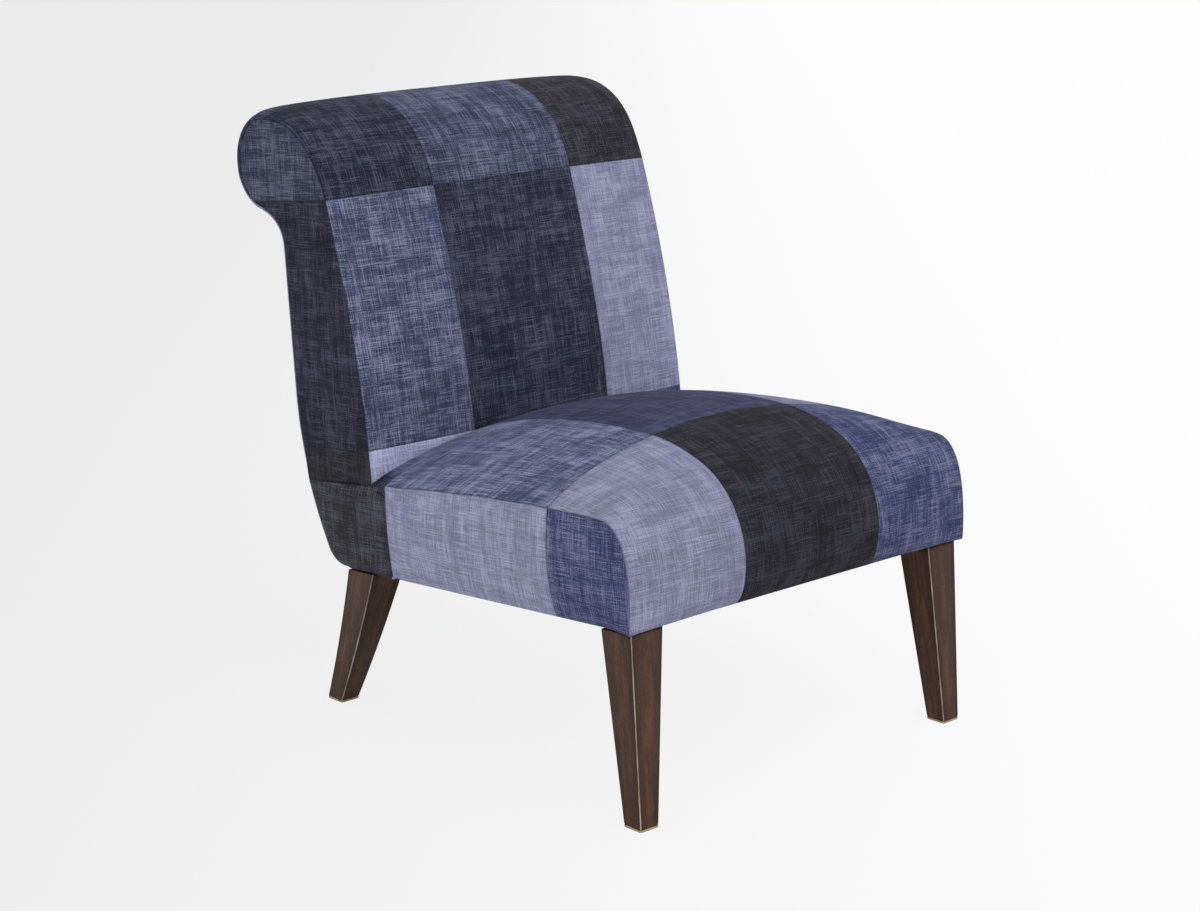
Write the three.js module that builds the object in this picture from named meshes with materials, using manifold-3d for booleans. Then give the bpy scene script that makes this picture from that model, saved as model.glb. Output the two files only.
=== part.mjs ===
// Slipper chair: an armless chair with a tight domed seat, a scroll back and four tapered legs.
// Millimetres, +Z up, the chair faces -Y. The origin is on the floor, under the middle of the chair's box.
// The upholstered body is drawn in its own frame: y runs back from the front edge of its underside,
// z runs up from its underside. The body is then pitched back, and only the legs are drawn level.
import * as THREE from "three";
import { mergeVertices } from "three/addons/utils/BufferGeometryUtils.js";
import Module from "manifold-3d";

const wasm = await Module();
wasm.setup();

// Stance of the body
const frontUnderside = 248.4; // floor to the front edge of the underside
const bodyPitch = THREE.MathUtils.degToRad(4.1);

// Fits
const clearance = 0.3;
const seatBackGap = 0.8; // seat to back, both soft
const cutOverrun = 5;
const samePlace = 1e-6; // points nearer than this are one

// Seat
const seatWidth = 610;
const seatDepth = 506; // front edge to the foot of the back, at the side seams
const sideSeamHeight = 138; // underside to the seam on top of the seat side
const rearSeamHeight = 121.7; // the same seam where it meets the back
const crownHeight = 213; // underside to the top of the dome
const backJunctionHeight = 170; // underside to the seat's middle where it meets the back
const sideCoverEnd = 41; // from the foot of the back forward to the end of the seat side
const sideDrawIn = 106; // length over which the seat narrows to the back
const sideSwell = 7;
const sideTuck = 6;
const cornerRun = 46; // how far back from the front corner the side takes its full swell

// Back
const backSetIn = 17; // side of the seat to the side of the back
const backThickness = 152; // foot of the back to its rear line
const backRake = 59.6; // how far the front line runs back between the seat and the roll
const backCrown = 10;
const rollCrown = 16; // at the top of the roll
const rearLean = 9; // how far the rear line leans back between the underside and the neck
const rearFlare = 59.5; // how far the rear line comes forward at the underside
const rearFlareHeight = 230;
const rearCornerHeight = 20;
const rollSeamHeight = 494.4;
const rollRadius = 64;
const rollSetback = 191; // foot of the back to the middle of the roll
const rollHeight = 538; // underside to the middle of the roll
const rollRise = 70; // how long the front line keeps its slope into the roll
const underRollTurn = THREE.MathUtils.degToRad(75); // how far round the roll goes below its middle
const rollJointTurn = THREE.MathUtils.degToRad(10); // how far below its middle the covers meet
const neckHeight = 428;
const seamFall = 10; // how far the lower seam of the back's side drops to the rear
const ledgeRun = 19; // height over which the cloth below that seam steps out to the frame

// Cloth, padding and backing
const coverThickness = 2;
const dustCoverThickness = 1.2;
const backPadding = 26;
const backingThickness = 2.5;
const outsideBoardThickness = 3;
const seatPadThickness = 4;

// Seat frame
const frontPadding = 8; // front edge of the underside to the front rail
const sidePadding = 12; // side of the seat to the side rail
const railThickness = 25;
const railHeight = 88;
const cornerBlockSide = 50;
const frameOverlap = 48; // how far the frame runs behind the foot of the back

// Back frame
const postThickness = 25;
const crossRailThickness = 22;
const lumbarRailHeight = 50;
const lumbarRailPlace = 260; // underside to the middle of the rail
const neckRailHeight = 40;
const neckRailPlace = 420;
const tackRailHeight = 40;
const tackRailPlace = 30;
const tailDepth = 16; // how far the posts' tails stand behind the frame, at the underside
const strapWidth = 50;
const strapPlaces = { low: 190, middle: 300, high: 395 };

// Springs and clips
const springCount = 4;
const springSpacing = 118;
const springWire = 3.8;
const springWidth = 50;
const springRuns = 17;
const springRise = 38;
const clipWidth = 16;
const clipPlate = 1.2;
const clipTail = 9;
const clipFit = 0.6;
const clipTurn = THREE.MathUtils.degToRad(240); // how far round the spring's end run its loop goes

// Legs and their fastenings
const legTopSide = 53.7;
const legFootSide = 30.7;
const legChamfer = 1.6;
const legCorner = 6; // seat side to the outer face of a leg at its top
const frontLegInset = 3.4; // front edge of the underside to the leg's front face
const frontLegKick = 17.6; // how far the front foot's face stands before the top's
const rearLegInset = 3.8; // foot of the back forward to the rear leg's front face
const rearLegRake = 105.2; // how far the rear foot's face stands behind the top's
const rearLegToe = 22.9; // how far the rear foot comes in from the side
const frontLegToe = 0.8;
const rearLegBow = 3;
const glideThickness = 3;
const glideChamfer = 1;
const boltDiameter = 8;
const boltInLeg = 28;
const boltInFrame = 30;
const boltTip = 6;
const insertDiameter = 13;
const insertLength = 20;
const insertFlange = 18;
const insertFlangeThickness = 1.5;

// Shapes of the curves, as shares of the sizes above
// The seat's side seam: shares of the seat's depth and of the side seam's height.
const edgeFrontShares = [[0, 0], [-0.016, 0.54], [0.004, 1], [0.089, 1]];
const edgeMiddleShares = [[0.089, 1], [0.148, 1.01], [0.209, 1.014], [0.269, 1.014]];
const edgeRearShares = [[0.269, 1.014], [0.494, 1.022], [0.751, 0.971]];
// The seat's middle line: shares of the seat's depth and of the crown's height.
const crownFrontShares = [[0, 0], [-0.089, 0.282], [-0.024, 0.704], [0.089, 0.836]];
const crownMiddleShares = [[0.089, 0.836], [0.142, 0.897], [0.206, 0.962], [0.269, 0.981]];
const crownRearShares = [[0.269, 0.981], [0.455, 1.033], [0.79, 1.009]];
const crownPowerShare = 0.78;
const rollCrownPowerShare = 0.3; // fuller towards the ends of the roll
const rakePowerShare = 1.7;
const neckInShare = 0.5;
const neckOutShare = 0.33;
const cornerInShare = 0.33;
const cornerReachShare = 0.6;
const scrollRailShare = 1.2;
const padOverhangShare = 0.33;

// Fineness
const acrossSteps = 18;
const backSteps = 10;
const frontSteps = 8;
const middleSteps = 3;
const rearSteps = 7;
const endSteps = 2;
const sideSteps = 4;
const lineSteps = 7;
const roundSteps = 7;
const bendSteps = 5;
const besideSteps = 3;
const behindSteps = 2;
const roundSides = 12;
const wireSides = 5;
const stepsPerRun = 5;
const clipSteps = 6;
const arcSteps = 12;
const halvings = 40; // of the span in which a place on the side seam is sought

// Sizes that follow
const seatHalf = seatWidth / 2;
const backHalf = seatHalf - backSetIn;
const frameHalf = seatHalf - sidePadding;
const railBase = dustCoverThickness + 2 * clearance;
const railTop = railBase + railHeight;
const frameFront = frontPadding;
const frameRear = seatDepth + frameOverlap;
const sideEnd = seatDepth - sideCoverEnd;
const lowerSeamHeight = rearSeamHeight - 2 * clearance;
const postOuter = backHalf - coverThickness - clearance;
const betweenPosts = postOuter - postThickness - clearance; // from the middle
const paddingInner = coverThickness + clearance + backPadding;
const backingOuter = paddingInner + clearance;
const backingInner = backingOuter + backingThickness;
const postFrontInset = backingInner + clearance;
const boardOuter = coverThickness + clearance;
const postRearInset = boardOuter + outsideBoardThickness + clearance;
const underRearEnd = frameRear + tailDepth;
const rollY = seatDepth + rollSetback;

const materials = {
  wood: [0x4a3226, 0.5, 0],
  glide: [0xb79c86, 0.6, 0],
  steel: [0xa8abb0, 0.35, 1],
  brass: [0xa58d5a, 0.4, 1],
  timber: [0xc9a878, 0.8, 0],
  plywood: [0xd0b184, 0.8, 0],
  chipboard: [0x9c7a54, 0.9, 0],
  webbing: [0x8d7a5c, 0.95, 0],
  felt: [0x8b8479, 1, 0],
  foam: [0xe6dcc0, 1, 0],
  seatCloth: [0x4e5c86, 0.95, 0],
  sideCloth: [0x7d83ad, 0.95, 0],
  backCloth: [0x2b2c40, 0.95, 0],
  facingCloth: [0x33374f, 0.95, 0],
  lowerCloth: [0x1f1d22, 0.95, 0],
  outsideCloth: [0x8a8fb8, 0.95, 0],
  dustCloth: [0x151515, 1, 0],
};

const body = new THREE.Group();
body.position.z = frontUnderside;
body.rotation.x = -bodyPitch;
const chair = new THREE.Group();
chair.add(body);

function addPart(parent, name, geometry, finish) {
  const [color, roughness, metalness] = materials[finish];
  const mesh = new THREE.Mesh(geometry, new THREE.MeshStandardMaterial({ color, roughness, metalness }));
  mesh.name = name;
  parent.add(mesh);
  return mesh;
}

// Helpers that make closed solids

const upTo = (count) => [...Array(count).keys()];

function pointsOf(geometry) {
  const position = geometry.getAttribute("position");
  return upTo(position.count).map((k) => new THREE.Vector3().fromBufferAttribute(position, k));
}

function facesOf(geometry) {
  const corners = geometry.index ? [...geometry.index.array] : upTo(geometry.getAttribute("position").count);
  return upTo(corners.length / 3).map((k) => corners.slice(3 * k, 3 * k + 3));
}

// Merges shared vertices, drops slivers and turns the faces outwards.
function closedGeometry(points, faces) {
  const flat = new THREE.BufferGeometry();
  flat.setAttribute("position", new THREE.Float32BufferAttribute(points.flatMap((p) => [p.x, p.y, p.z]), 3));
  flat.setIndex(faces.flat());
  const merged = mergeVertices(flat);
  const kept = facesOf(merged).filter(([a, b, c]) => a !== b && b !== c && c !== a);
  merged.setIndex(kept.flat());
  if (signedVolume(merged) < 0) merged.setIndex(kept.flatMap(([a, b, c]) => [a, c, b]));
  return merged;
}

// Six times the volume inside, below zero when the faces look inwards
function signedVolume(geometry) {
  const points = pointsOf(geometry);
  return facesOf(geometry).reduce(
    (sum, [a, b, c]) => sum + points[a].dot(points[b].clone().cross(points[c])), 0);
}

function manifoldOf(geometry) {
  const plain = new THREE.BufferGeometry();
  plain.setAttribute("position", geometry.getAttribute("position").clone());
  plain.setIndex(geometry.index);
  const merged = mergeVertices(plain);
  return new wasm.Manifold(new wasm.Mesh({
    numProp: 3,
    vertProperties: new Float32Array(merged.getAttribute("position").array),
    triVerts: new Uint32Array(merged.index.array),
  }));
}

function geometryOf(manifold) {
  const mesh = manifold.getMesh();
  const geometry = new THREE.BufferGeometry();
  geometry.setAttribute("position", new THREE.BufferAttribute(mesh.vertProperties, 3));
  geometry.setIndex(new THREE.BufferAttribute(mesh.triVerts, 1));
  return geometry;
}

function cut(geometry, ...tools) {
  return geometryOf(tools.reduce((left, tool) => left.subtract(manifoldOf(tool)), manifoldOf(geometry)));
}

function box(x0, x1, y0, y1, z0, z1) {
  const geometry = new THREE.BoxGeometry(x1 - x0, y1 - y0, z1 - z0);
  return geometry.translate((x0 + x1) / 2, (y0 + y1) / 2, (z0 + z1) / 2);
}

// A turned solid about the Z axis, from a profile of [radius, height] points.
function turned(profile, sides = roundSides) {
  const lathe = new THREE.LatheGeometry(profile.map(([r, h]) => new THREE.Vector2(r, h)), sides);
  lathe.rotateX(Math.PI / 2);
  return closedGeometry(pointsOf(lathe), facesOf(lathe));
}

// A flat outline in the YZ plane, given thickness along X between x0 and x1.
function sawn(outline, x0, x1) {
  const shape = new THREE.Shape(outline.map(([y, z]) => new THREE.Vector2(y, z)));
  const geometry = new THREE.ExtrudeGeometry(shape, { depth: x1 - x0, bevelEnabled: false });
  const turn = new THREE.Matrix4().set(0, 0, 1, x0, 1, 0, 0, 0, 0, 1, 0, 0, 0, 0, 0, 1);
  geometry.applyMatrix4(turn);
  return closedGeometry(pointsOf(geometry), facesOf(geometry));
}

function mirrored(geometry) {
  const points = pointsOf(geometry).map((p) => new THREE.Vector3(-p.x, p.y, p.z));
  return closedGeometry(points, facesOf(geometry));
}

// A closed skin between two grids of points, outer(i, j) and inner(i, j).
function slab(columns, rows, outer, inner) {
  const points = [];
  const at = (side, i, j) => side * (columns + 1) * (rows + 1) + i * (rows + 1) + j;
  for (const surface of [outer, inner]) {
    for (let i = 0; i <= columns; i++) {
      for (let j = 0; j <= rows; j++) points.push(surface(i, j));
    }
  }
  const faces = [];
  const quad = (a, b, c, d) => faces.push([a, b, c], [a, c, d]);
  for (let i = 0; i < columns; i++) {
    for (let j = 0; j < rows; j++) {
      quad(at(0, i, j), at(0, i + 1, j), at(0, i + 1, j + 1), at(0, i, j + 1));
      quad(at(1, i, j), at(1, i, j + 1), at(1, i + 1, j + 1), at(1, i + 1, j));
    }
    quad(at(0, i, 0), at(1, i, 0), at(1, i + 1, 0), at(0, i + 1, 0));
    quad(at(0, i, rows), at(0, i + 1, rows), at(1, i + 1, rows), at(1, i, rows));
  }
  for (let j = 0; j < rows; j++) {
    quad(at(0, 0, j), at(0, 0, j + 1), at(1, 0, j + 1), at(1, 0, j));
    quad(at(0, columns, j), at(1, columns, j), at(1, columns, j + 1), at(0, columns, j + 1));
  }
  return closedGeometry(points, faces);
}

// A closed solid through rings of points, with flat ends.
function loft(rings) {
  const count = rings[0].length;
  const faces = [];
  for (let r = 0; r + 1 < rings.length; r++) {
    for (let k = 0; k < count; k++) {
      const next = (k + 1) % count;
      const [a, b] = [r * count + k, r * count + next];
      faces.push([a, b, b + count], [a, b + count, a + count]);
    }
  }
  const last = (rings.length - 1) * count;
  for (let k = 1; k + 1 < count; k++) {
    faces.push([0, k + 1, k], [last, last + k, last + k + 1]);
  }
  return closedGeometry(rings.flat(), faces);
}

// The back's front line, or a line inside it by an inset
function frontLine(z, inset = 0) {
  const length = rollSeamHeight - rearSeamHeight;
  const rise = Math.max(0, (z - rearSeamHeight) / length);
  const slope = (rakePowerShare * backRake * rise ** (rakePowerShare - 1)) / length;
  return seatDepth + backRake * rise ** rakePowerShare + inset * Math.hypot(1, slope);
}

function rearLine(z) {
  const low = Math.max(0, (rearFlareHeight - z) / rearFlareHeight);
  return seatDepth + backThickness + (rearLean * z) / neckHeight - rearFlare * low ** 2;
}

const lowerSeam = (y) => lowerSeamHeight - (seamFall * (y - seatDepth)) / backThickness;

const spaced = (from, to, steps) => upTo(steps + 1).map((k) => from + ((to - from) * k) / steps);

function bend(start, startAim, end, endAim, steps) {
  const curve = new THREE.CubicBezierCurve(start, start.clone().add(startAim), end.clone().sub(endAim), end);
  return curve.getPoints(steps);
}

// The back's outline, sampled from the foot of the front line over the roll to the underside.
// Behind the roll, one cloth ends at the sample coverEnd and the next begins at nextStart.
function backOutline() {
  const vector = (y, z) => new THREE.Vector2(y, z);
  const front = spaced(rearSeamHeight, rollSeamHeight, lineSteps).map((z) => vector(frontLine(z), z));
  const slope = (rakePowerShare * backRake) / (rollSeamHeight - rearSeamHeight);
  const rise = bend(front.at(-1), vector(slope, 1).setLength(rollRise), vector(rollY, rollHeight + rollRadius),
    vector(rollRise, 0), lineSteps);
  const onRoll = (a) => vector(rollY + rollRadius * Math.cos(a), rollHeight + rollRadius * Math.sin(a));
  const roll = spaced(Math.PI / 2, -rollJointTurn, roundSteps).map(onRoll);
  const next = -rollJointTurn - (2 * clearance) / rollRadius;
  const underRoll = [-rollJointTurn, ...spaced(next, -underRollTurn, roundSteps)].map(onRoll);
  const underAim = vector(-Math.sin(underRollTurn), -Math.cos(underRollTurn));
  const seamRear = lowerSeamHeight - seamFall;
  const neck = bend(underRoll.at(-1), underAim.setLength(rollRadius * neckInShare),
    vector(rearLine(neckHeight), neckHeight), vector(0, -rollRadius * neckOutShare), bendSteps);
  const upper = spaced(neckHeight, seamRear, lineSteps).map((z) => vector(rearLine(z), z));
  const lower = spaced(seamRear, rearCornerHeight, bendSteps).map((z) => vector(rearLine(z), z));
  const cornerAim = vector(-rearCornerHeight * cornerInShare, -rearCornerHeight * cornerReachShare);
  const cornerEnd = vector(underRearEnd, 0);
  const corner = bend(lower.at(-1), cornerAim, cornerEnd, vector(-rearCornerHeight, 0), bendSteps);
  const pieces = [front, rise, roll, underRoll, neck, upper, lower, corner];
  const points = [];
  const ends = [];
  for (const piece of pieces) {
    points.push(...(points.length ? piece.slice(1) : piece));
    ends.push(points.length - 1);
  }
  const [lineEnd, rollStart, coverEnd, rollEnd, , seamEnd] = ends;
  return { points, lineEnd, rollStart, coverEnd, nextStart: coverEnd + 1, rollEnd, seamEnd };
}

const outline = backOutline();
const lastPoint = outline.points.length - 1;

// Outward normals. At its two ends the outline is cut square, level in front and upright below.
const outlineNormals = outline.points.map((point, k) => {
  if (k === 0) return new THREE.Vector2(-1, 0);
  if (k === lastPoint) return new THREE.Vector2(0, -1);
  if (k >= outline.rollStart && k <= outline.rollEnd) {
    return point.clone().sub(new THREE.Vector2(rollY, rollHeight)).normalize();
  }
  const run = outline.points[k + 1].clone().sub(outline.points[k - 1]).normalize();
  return new THREE.Vector2(-run.y, run.x);
});

const insetPoint = (k, inset) => outline.points[k].clone().addScaledVector(outlineNormals[k], -inset);

const dome = (across, power = crownPowerShare) => Math.max(0, 1 - across ** 2) ** power;

// How far a sample of the outline stands out in the back's middle, and the crown's shape across it.
// The crown grows up to the top of the roll and ends with the cover behind it.
function crownOf(k) {
  const { lineEnd, rollStart, coverEnd } = outline;
  const rise = THREE.MathUtils.clamp((k - lineEnd) / (rollStart - lineEnd), 0, 1);
  const fade = THREE.MathUtils.clamp((coverEnd - k) / (coverEnd - rollStart), 0, 1);
  const power = THREE.MathUtils.lerp(crownPowerShare, rollCrownPowerShare, rise);
  return { lift: THREE.MathUtils.lerp(backCrown, rollCrown, rise) * fade, power };
}

const flat = (inset) => ({ inset, crowned: false });
const crowned = (inset) => ({ inset, crowned: true });

// A skin of the back from sample a to sample b, between an outer and an inner surface, flat or crowned.
function backSkin(a, b, outer, inner, half, columns) {
  const surface = (layer) => (i, j) => {
    const across = Math.sin(Math.PI * (i / columns - 1 / 2));
    const { lift, power } = crownOf(a + j);
    const p = insetPoint(a + j, layer.crowned ? layer.inset - lift * dome(across, power) : layer.inset);
    return new THREE.Vector3(across * half, p.x, p.y);
  };
  return slab(columns, b - a, surface(outer), surface(inner));
}

// The seat's surfaces

const edgeEndShare = rearSeamHeight / sideSeamHeight;
const crownEnd = [1 - (backCrown + seatBackGap) / seatDepth, backJunctionHeight / crownHeight];

const scaledCurve = (shares, height) =>
  new THREE.CubicBezierCurve(...shares.map(([y, z]) => new THREE.Vector2(y * seatDepth, z * height)));

const edgeCurves = [
  scaledCurve(edgeFrontShares, sideSeamHeight),
  scaledCurve(edgeMiddleShares, sideSeamHeight),
  scaledCurve([...edgeRearShares, [1 - seatBackGap / seatDepth, edgeEndShare]], sideSeamHeight),
];
const crownCurves = [
  scaledCurve(crownFrontShares, crownHeight),
  scaledCurve(crownMiddleShares, crownHeight),
  scaledCurve([...crownRearShares, crownEnd], crownHeight),
];

// Where the side seam passes the end of the seat side, as a parameter of its rear curve.
function rearParameter(y) {
  let [low, high] = [0, 1];
  for (let k = 0; k < halvings; k++) {
    const middle = (low + high) / 2;
    if (edgeCurves[2].getPoint(middle).x < y) low = middle;
    else high = middle;
  }
  return low;
}

const sideEndParameter = rearParameter(sideEnd - clearance);
const seatSamples = [
  ...spaced(0, 1, frontSteps).map((t) => [0, t]),
  ...spaced(0, 1, middleSteps).slice(1).map((t) => [1, t]),
  ...spaced(0, sideEndParameter, rearSteps).slice(1).map((t) => [2, t]),
  ...spaced(sideEndParameter, 1, endSteps).slice(1).map((t) => [2, t]),
];
const sideEndSample = frontSteps + middleSteps + rearSteps;
const lastSample = seatSamples.length - 1;

// A point of a profile, moved inwards by an inset. Its two ends move only along the cloth's own edge.
function profilePoint(curves, j, inset) {
  const [piece, t] = seatSamples[j];
  const p = curves[piece].getPoint(t);
  const run = curves[piece].getTangent(t);
  const normal = new THREE.Vector2(-run.y, run.x);
  if (j === 0) normal.set(-1, 0);
  if (j === lastSample) normal.set(0, 1);
  p.addScaledVector(normal, -inset);
  p.y = Math.max(p.y, 0) + clearance;
  return p;
}

// How far along the seat's last stretch, which narrows to the back, a place lies.
const drawInAt = (y) => THREE.MathUtils.clamp((y - (seatDepth - sideDrawIn)) / sideDrawIn, 0, 1);

const seatHalfAt = (y) => seatHalf - (seatHalf - backHalf) * drawInAt(y) ** 2;

function seatTop(seamInset, inset) {
  return (i, j) => {
    const across = Math.sin(Math.PI * (i / acrossSteps - 1 / 2));
    const edge = profilePoint(edgeCurves, j, seamInset);
    const crown = profilePoint(crownCurves, j, inset);
    const p = edge.clone().lerp(crown, dome(across));
    return new THREE.Vector3(across * (seatHalfAt(edge.x) - inset), p.x, p.y);
  };
}

// The seat's side from its top seam (w = 0) to its lower edge (w = 1).
function seatSide(side, seamInset, inset) {
  return (j, row) => {
    const w = row / sideSteps;
    const edge = profilePoint(edgeCurves, j, seamInset);
    const start = profilePoint(edgeCurves, 0, seamInset).x;
    const foot = new THREE.Vector2(Math.max(edge.x, start), clearance);
    const p = edge.clone().lerp(foot, w);
    const share = THREE.MathUtils.smoothstep(edge.x, start, start + cornerRun) * (1 - drawInAt(edge.x));
    const swell = share * (sideSwell * 4 * w * (1 - w) - sideTuck * w ** 2);
    return new THREE.Vector3(side * (seatHalfAt(edge.x) + swell - inset), p.x, p.y);
  };
}

// The whole seat pad as one closed solid, inset from the covers.
function seatEnvelope(inset) {
  const points = [];
  const faces = [];
  const top = seatTop(clearance, inset);
  const grid = (columns, rows, surface) => {
    const start = points.length;
    for (let i = 0; i <= columns; i++) for (let j = 0; j <= rows; j++) points.push(surface(i, j));
    return (i, j) => start + i * (rows + 1) + j;
  };
  const patch = (columns, rows, at, flip) => {
    for (let i = 0; i < columns; i++) {
      for (let j = 0; j < rows; j++) {
        const [a, b, c, d] = [at(i, j), at(i + 1, j), at(i + 1, j + 1), at(i, j + 1)];
        faces.push(...(flip ? [[a, c, b], [a, d, c]] : [[a, b, c], [a, c, d]]));
      }
    }
  };
  const topAt = grid(acrossSteps, lastSample, top);
  patch(acrossSteps, lastSample, topAt, false);
  const leftAt = grid(lastSample, sideSteps, seatSide(-1, clearance, inset));
  patch(lastSample, sideSteps, leftAt, false);
  const rightAt = grid(lastSample, sideSteps, seatSide(1, clearance, inset));
  patch(lastSample, sideSteps, rightAt, true);
  const rearFoot = grid(acrossSteps, 0, (i) => {
    const p = top(i, lastSample);
    return new THREE.Vector3(p.x, p.y, clearance);
  });
  const columns = upTo(acrossSteps + 1);
  const inner = columns.slice(1, -1);
  const rows = upTo(sideSteps + 1).slice(1);
  const samples = upTo(lastSample + 1);
  const near = 1;
  const far = acrossSteps - 1;
  for (let i = near; i < far; i++) {
    const [a, b, c, d] = [topAt(i, lastSample), topAt(i + 1, lastSample), rearFoot(i + 1, 0), rearFoot(i, 0)];
    faces.push([a, b, c], [a, c, d]);
  }
  for (const w of rows) {
    faces.push([topAt(near, lastSample), leftAt(lastSample, w), leftAt(lastSample, w - 1)]);
    faces.push([topAt(far, lastSample), rightAt(lastSample, w - 1), rightAt(lastSample, w)]);
  }
  faces.push([topAt(near, lastSample), rearFoot(near, 0), leftAt(lastSample, sideSteps)]);
  faces.push([topAt(far, lastSample), rightAt(lastSample, sideSteps), rearFoot(far, 0)]);
  const under = [
    ...columns.map((i) => topAt(i, 0)),
    ...samples.slice(1).map((j) => rightAt(j, sideSteps)),
    ...inner.toReversed().map((i) => rearFoot(i, 0)),
    ...samples.slice(1).toReversed().map((j) => leftAt(j, sideSteps)),
  ];
  fillLoop(under, points, faces, (p) => new THREE.Vector2(p.x, p.y));
  return closedGeometry(points, faces);
}

// Triangles across a closed loop of points, seen flat and turned clockwise there.
function fillLoop(loop, points, faces, flatten) {
  const clean = loop.filter((k, n) => points[k].distanceTo(points[loop[(n + 1) % loop.length]]) > samePlace);
  const flat = clean.map((k) => flatten(points[k]));
  for (const corners of THREE.ShapeUtils.triangulateShape(flat, [])) {
    const clockwise = THREE.ShapeUtils.area(corners.map((k) => flat[k])) < 0;
    const [a, b, c] = clockwise ? corners : corners.toReversed();
    faces.push([clean[a], clean[b], clean[c]]);
  }
}

// Springs: zigzag runs across, laid on an arc between the front and rear rails

const springFront = frameFront + railThickness / 2;
const springRear = frameRear - railThickness / 2;
const springChord = springRear - springFront;
const springRadius = (springChord ** 2 / 4 + springRise ** 2) / (2 * springRise);
const springSweep = 2 * Math.asin(springChord / 2 / springRadius);
const wireRadius = springWire / 2;
const clipInner = wireRadius + clipFit;
const clipOuter = clipInner + clipPlate;
const springEndHeight = railTop + clearance + clipOuter;

function onArc(length, lift) {
  const angle = length / springRadius - springSweep / 2;
  const y = (springFront + springRear) / 2 + (springRadius + lift) * Math.sin(angle);
  const drop = springRadius * Math.cos(springSweep / 2);
  return [y, springEndHeight + (springRadius + lift) * Math.cos(angle) - drop];
}

function springGeometry(x) {
  const length = springRadius * springSweep;
  const run = length / (springRuns - 1);
  const steps = springRuns * stepsPerRun;
  const path = [];
  for (let k = 0; k <= steps; k++) {
    const phase = -Math.PI / 2 + (k / stepsPerRun) * Math.PI;
    const wave = (run / Math.PI) * (phase - Math.sin(2 * phase) / 2);
    const along = THREE.MathUtils.clamp(wave, 0, length);
    const [y, z] = onArc(along, 0);
    const [yUp, zUp] = onArc(along, 1);
    path.push({
      point: new THREE.Vector3(x + (springWidth / 2) * Math.sin(phase), y, z),
      up: new THREE.Vector3(0, yUp - y, zUp - z),
    });
  }
  const rings = path.map(({ point, up }, k) => {
    const ahead = path[Math.min(k + 1, steps)].point;
    const behind = path[Math.max(k - 1, 0)].point;
    const side = ahead.clone().sub(behind).normalize().cross(up).normalize();
    return upTo(wireSides).map((s) => {
      const angle = (2 * Math.PI * s) / wireSides;
      return point.clone().addScaledVector(side, wireRadius * Math.cos(angle))
        .addScaledVector(up, wireRadius * Math.sin(angle));
    });
  });
  return loft(rings);
}

// A clip: its tail lies on the rail, and its loop goes under and over the spring's end run.
function clipGeometry(x, y, direction) {
  const angles = spaced(0, clipTurn, clipSteps).map((a) => a - Math.PI / 2);
  const ring = (radius) => angles.map((a) => [radius * Math.cos(a), radius * Math.sin(a)]);
  const loop = [...ring(clipOuter), ...ring(clipInner).reverse()];
  const profile = [[-clipTail, -clipOuter], ...loop, [-clipTail, -clipInner]];
  const placed = profile.map(([a, b]) => [y + direction * a, springEndHeight + b]);
  return sawn(direction > 0 ? placed : placed.reverse(), x - clipWidth / 2, x + clipWidth / 2);
}

// A prism arched over the springs' middle line, from one lift above it to another.
// It runs past both ends of the springs by an overhang. With a base, it reaches down to that height instead.
function arcPrism(lowLift, highLift, half, overhang, base) {
  const stations = spaced(-overhang, springRadius * springSweep + overhang, arcSteps);
  const surface = (lift, height) => (i, j) => {
    const [y, z] = onArc(stations[j], lift);
    return new THREE.Vector3((2 * i - 1) * half, y, height ?? z);
  };
  return slab(1, arcSteps, surface(highLift), surface(lowLift, base));
}

// Legs

// A point of the body's frame, in the chair's level frame
function level(x, y, z) {
  return new THREE.Vector3(x, y, z)
    .applyAxisAngle(new THREE.Vector3(1, 0, 0), -bodyPitch)
    .add(new THREE.Vector3(0, 0, frontUnderside));
}

function chamferedSquare(x, y, side, chamfer) {
  const [h, c] = [side / 2, side / 2 - chamfer];
  const corners = [[h, -c], [h, c], [c, h], [-c, h], [-h, c], [-h, -c], [-c, -h], [c, -h]];
  return corners.map(([a, b]) => [x + a, y + b]);
}

// Each pair of legs: the top's front face, how far the foot's front face and outer face are from the top's,
// the bow of its length, and the middle of its corner blocks.
const frontPair = {
  face: frontLegInset,
  rake: -frontLegKick,
  toe: frontLegToe,
  bow: 0,
  blockY: frameFront + cornerBlockSide / 2,
};
const rearPair = {
  face: seatDepth - rearLegInset,
  rake: rearLegRake,
  toe: rearLegToe,
  bow: rearLegBow,
  blockY: frameRear - cornerBlockSide / 2,
};
const legs = [
  { name: "front_left", side: -1, ...frontPair },
  { name: "front_right", side: 1, ...frontPair },
  { name: "rear_left", side: -1, ...rearPair },
  { name: "rear_right", side: 1, ...rearPair },
];

const blockMiddle = (leg) => leg.side * (frameHalf - cornerBlockSide / 2);

// A hole for a bolt, along the body's Z axis from one height to another
function boltHole(leg, from, to) {
  const radius = boltDiameter / 2 + clearance;
  return turned([[0, from], [radius, from], [radius, to], [0, to]]).translate(blockMiddle(leg), leg.blockY, 0);
}

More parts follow.
